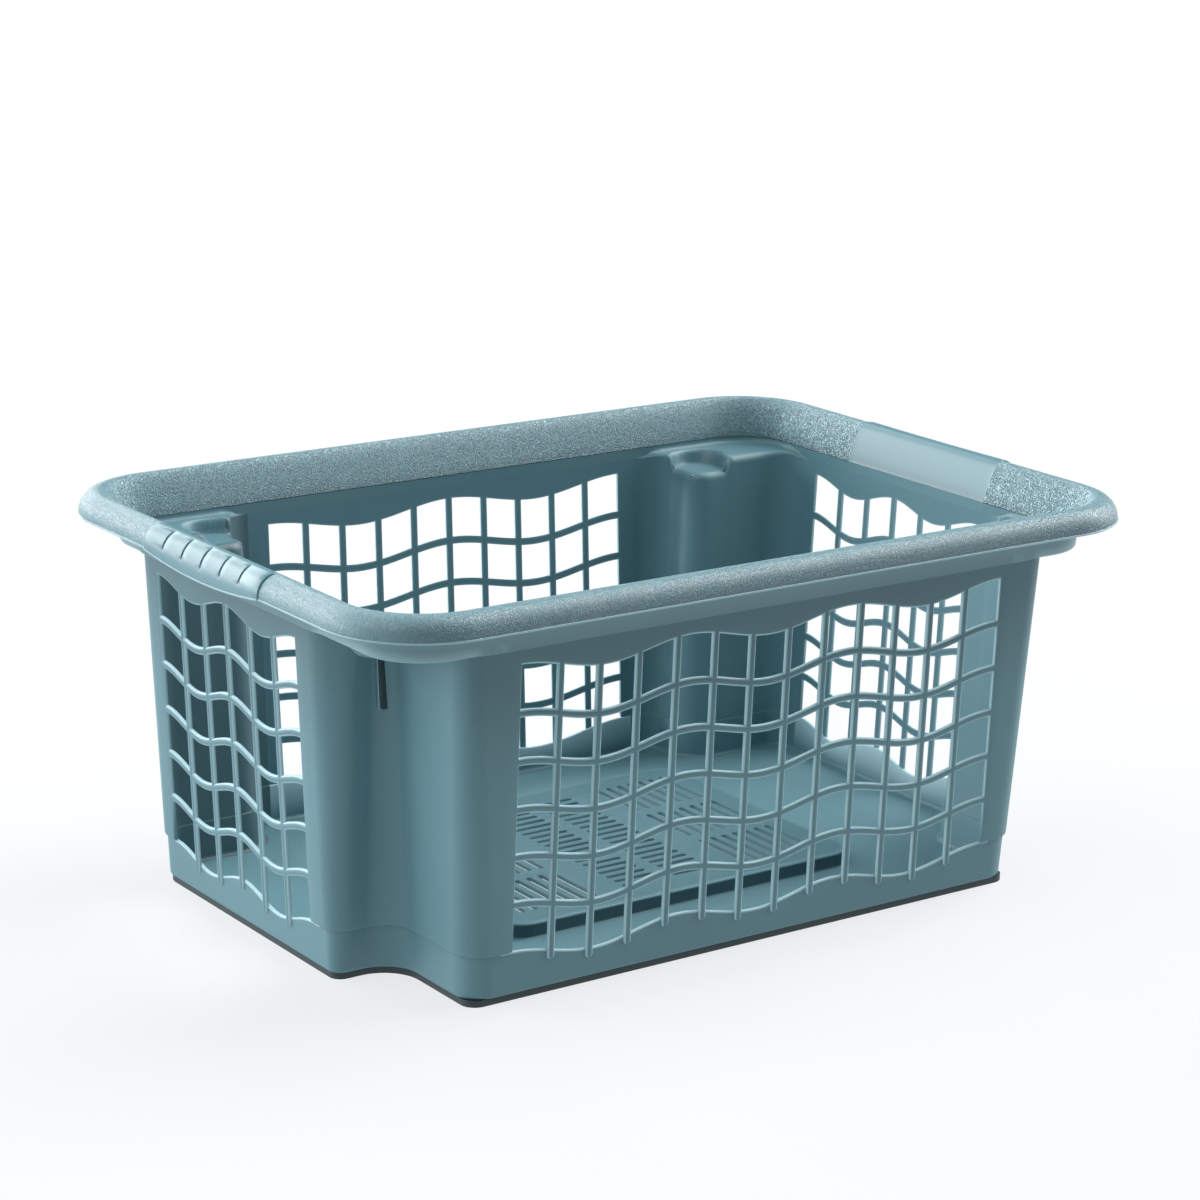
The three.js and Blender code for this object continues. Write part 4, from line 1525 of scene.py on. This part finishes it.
def grained_teal():
    """Wrinkled grain of the rim's flare and hook, smooth below the line where the flare starts."""
    look = settings("look")
    finish = Finish("Teal plastic, wrinkled grain")
    folds = finish.noise(1.0 / look.grain, detail=1.0, Roughness=0.5, Distortion=FOLD_DISTORTION)
    crest = finish.ramp(finish.sum_of("ABSOLUTE", folds - 0.5, 0.0), start=0.0, end=FOLD_WIDTH)
    grainy = finish.mask(GRAIN)
    # The wrinkles are real, their colours painted light: a painted highlight on the ridges and painted
    # shade in the creases, which also paint the grained flare lighter than the plain teal
    wrinkled = finish.blend(crest, tint(look.teal, look.crease_shade_tone), tint(look.ridge_highlight_teal))
    base = finish.mottled(finish.noise(CLOUDS, detail=3.0), look.teal, GRAIN_TONES)
    base = finish.blend(grainy, base, wrinkled)
    return finish.finished(colour=finish.edged(base), normal=finish.bump(look.grain_depth, crest * grainy),
                           roughness=crest * -RIDGE_SMOOTHER + (look.matte - GRAIN_SMOOTHER),
                           specular=GRAIN_SPECULAR)


def satin_teal():
    """Smooth satin face of the hand grips."""
    look = settings("look")
    finish = Finish("Teal plastic, satin grip")
    fine = finish.noise(GRIP_FINE)
    base = finish.mottled(finish.noise(GRIP_CLOUDS, detail=3.0), look.grip_teal, GRIP_TONES)
    return finish.finished(colour=finish.edged(base),
                           normal=finish.bump(look.fine_depth * GRIP_FINE_DEPTH, fine),
                           roughness=fine * GRIP_ROUGHER + (look.satin - GRIP_ROUGHER / 2))


def pale_paper():
    """The pale floor that the basket stands on."""
    stage = settings("stage")
    finish = Finish("Pale paper")
    return finish.finished(colour=finish.mottled(finish.noise(PAPER_CLOUDS), stage.paper, PAPER_TONES),
                           roughness=PAPER_ROUGHNESS, glow=PAPER_LIGHT, glow_strength=stage.paper_glow)


def shaded_foot():
    """Dark teal of the foot ring, which stands in its own shade."""
    look = settings("look")
    finish = Finish("Teal plastic, foot in shade")
    fine = finish.noise(FINE)
    base = finish.mottled(fine, look.teal, (look.foot_tone, look.foot_tone * FOOT_LIGHTER))
    return finish.finished(colour=base, normal=finish.bump(look.fine_depth, fine),
                           roughness=fine * FOOT_ROUGHER + look.matte)


FINISHES = {"matte": moulded_teal, "grain": grained_teal, "satin": satin_teal, "foot": shaded_foot,
            "paper": pale_paper}
made_finishes = {}


def finish_of(name):
    """The material of a finish, made once."""
    if name not in made_finishes:
        made_finishes[name] = FINISHES[name]()
    return made_finishes[name]


# Operators

class BASKET_OT_walls(bpy.types.Operator):
    """Make the four open walls with their lower bands"""
    bl_idname = "basket.walls"
    bl_label = "Open walls"

    def execute(self, context):
        for name in WALL_NAMES:
            wall = Wall(name)
            mesh = joined((net_body(wall), band_body(wall)))
            piece("open_wall_" + name, mesh, "matte", ("grille_" + name, "skirt_" + name))
        return {"FINISHED"}


class BASKET_OT_corners(bpy.types.Operator):
    """Make the four corner columns with their ledges and scoops"""
    bl_idname = "basket.corners"
    bl_label = "Corner columns"

    def execute(self, context):
        for name in CORNER_NAMES:
            corner = Corner(name)
            nodes = tuple(part + name for part in ("corner_column_", "stacking_ledge_", "ledge_scoop_"))
            piece("corner_shell_" + name, corner_shell(corner), "matte", nodes)
            piece("rib_" + name, scoop_rib(corner), "matte", ("scoop_rib_" + name,))
        return {"FINISHED"}


class BASKET_OT_rim(bpy.types.Operator):
    """Make the grained rim round the mouth"""
    bl_idname = "basket.rim"
    bl_label = "Rim"

    def execute(self, context):
        for name in CORNER_NAMES:
            node = "rim_corner_" + name
            piece("grained_" + node, rim_corner(Corner(name)), "grain", (node,))
        for name in ("front", "rear"):
            node = "rim_" + name
            piece("grained_" + node, rim_straight(Wall(name)), "grain", (node,))
        return {"FINISHED"}


class BASKET_OT_grips(bpy.types.Operator):
    """Make the two hand grips with their finger grooves"""
    bl_idname = "basket.grips"
    bl_label = "Hand grips"

    def execute(self, context):
        for name in ("left", "right"):
            node = "hand_grip_" + name
            piece("satin_" + node, hand_grip(Wall(name)), "satin", (node,))
        return {"FINISHED"}


class BASKET_OT_floor(bpy.types.Operator):
    """Make the floor with its raised, slotted panel, and the foot ring"""
    bl_idname = "basket.floor"
    bl_label = "Floor and foot"

    def execute(self, context):
        piece("floor_low", channel_floor(), "matte", ("floor_channel",))
        piece("floor_step", panel_edge(), "matte", ("floor_riser",))
        piece("floor_raised", raised_panel(), "matte", ("floor_panel",))
        piece("foot_band", foot_band(), "foot", ("foot_ring",))
        return {"FINISHED"}


class BASKET_OT_stage(bpy.types.Operator):
    """Make the pale floor, the soft light and the camera"""
    bl_idname = "basket.stage"
    bl_label = "Stage, light and camera"

    def execute(self, context):
        make_paper()
        make_light()
        make_camera()
        return {"FINISHED"}


PAPER_RADIUS = 24.0


def make_paper():
    """A wide pale floor."""
    mesh = bmesh.new()
    bmesh.ops.create_circle(mesh, cap_ends=True, radius=PAPER_RADIUS, segments=64)
    paper = shown("paper", mesh, "paper")


# Each soft box's setting, where its light comes from and how wide it looks, in degrees
SOFT_BOXES = (
    ("behind_left", (-0.7, 1.0, 0.35), 45),
    ("low_left", (-1.0, 0.5, 0.05), 30),
    ("top_left", (-0.8, 0.0, 1.0), 50),
    ("top_right", (0.8, 0.0, 1.0), 50),
    ("right", (1.0, 0.0, 0.35), 45),
    ("behind", (0.0, 1.0, 0.35), 45),
)


def make_light():
    """Soft boxes round and above the basket, most of them behind it."""
    stage = settings("stage")
    world = bpy.data.worlds.new("surround")
    world.use_nodes = True
    background = world.node_tree.nodes["Background"]
    background.inputs["Color"].default_value = tuple(stage.sky) + (1.0,)
    background.inputs["Strength"].default_value = stage.sky_strength
    bpy.context.scene.world = world
    for name, come_from, spread in SOFT_BOXES:
        wide_light(name, come_from, spread, getattr(stage, name))
    bpy.context.scene.view_settings.view_transform = "Standard"


def wide_light(name, come_from, spread, strength):
    """A distant light as wide as a soft box, which is as strong all over the floor."""
    light = bpy.data.lights.new(name, "SUN")
    light.angle = math.radians(spread)
    light.energy = strength
    lamp = bpy.data.objects.new(name, light)
    lamp.location = Vector(come_from)
    lamp.rotation_euler = (-Vector(come_from)).to_track_quat("-Z", "Y").to_euler()
    bpy.context.scene.collection.objects.link(lamp)


CAMERA_PLACE = Vector((-1.2212, -1.7679, 0.7678))
CAMERA_YAW = 0.6049
CAMERA_PITCH = 0.2663
CAMERA_ROLL = 0.0119
SENSOR_WIDTH = 36.0
VIEW_END = 100.0


def make_camera():
    """The camera at the photograph's viewing angle."""
    lens = bpy.data.cameras.new("camera")
    lens.lens = settings("stage").lens
    lens.sensor_width = SENSOR_WIDTH
    lens.clip_end = VIEW_END
    camera = bpy.data.objects.new("camera", lens)
    ahead = Vector((math.sin(CAMERA_YAW) * math.cos(CAMERA_PITCH),
                    math.cos(CAMERA_YAW) * math.cos(CAMERA_PITCH), -math.sin(CAMERA_PITCH)))
    level = Vector((math.cos(CAMERA_YAW), -math.sin(CAMERA_YAW), 0))
    up = level.cross(ahead)
    right = level * math.cos(CAMERA_ROLL) + up * math.sin(CAMERA_ROLL)
    up = up * math.cos(CAMERA_ROLL) - level * math.sin(CAMERA_ROLL)
    turn_by = Matrix((right, up, -ahead)).transposed()
    camera.matrix_world = Matrix.Translation(CAMERA_PLACE) @ turn_by.to_4x4()
    bpy.context.scene.collection.objects.link(camera)
    bpy.context.scene.camera = camera


class BASKET_PT_panel(bpy.types.Panel):
    """Lists the basket's sizes and the steps that make it"""
    bl_idname = "BASKET_PT_panel"
    bl_label = "Laundry basket"
    bl_space_type = "VIEW_3D"
    bl_region_type = "UI"
    bl_category = "Basket"

    def draw(self, context):
        for group in GROUPS:
            box = self.layout.box()
            box.label(text=short_name(group))
            values = settings(short_name(group).lower())
            for key in group.__annotations__:
                box.prop(values, key, text=key.replace("_", " ").capitalize())
        for operator in OPERATORS:
            self.layout.operator(operator.bl_idname)


OPERATORS = (BASKET_OT_walls, BASKET_OT_corners, BASKET_OT_rim, BASKET_OT_grips, BASKET_OT_floor,
             BASKET_OT_stage)


def register():
    for group in GROUPS:
        bpy.utils.register_class(group)
        key = "basket_" + short_name(group).lower()
        setattr(bpy.types.Scene, key, PointerProperty(type=group))
    for part in OPERATORS + (BASKET_PT_panel,):
        bpy.utils.register_class(part)


def unregister():
    for part in (BASKET_PT_panel,) + OPERATORS[::-1]:
        bpy.utils.unregister_class(part)
    for group in GROUPS[::-1]:
        delattr(bpy.types.Scene, "basket_" + short_name(group).lower())
        bpy.utils.unregister_class(group)


def main():
    register()
    bpy.ops.basket.stage()
    bpy.ops.basket.walls()
    bpy.ops.basket.corners()
    bpy.ops.basket.rim()
    bpy.ops.basket.grips()
    bpy.ops.basket.floor()


if __name__ == "__main__":
    main()
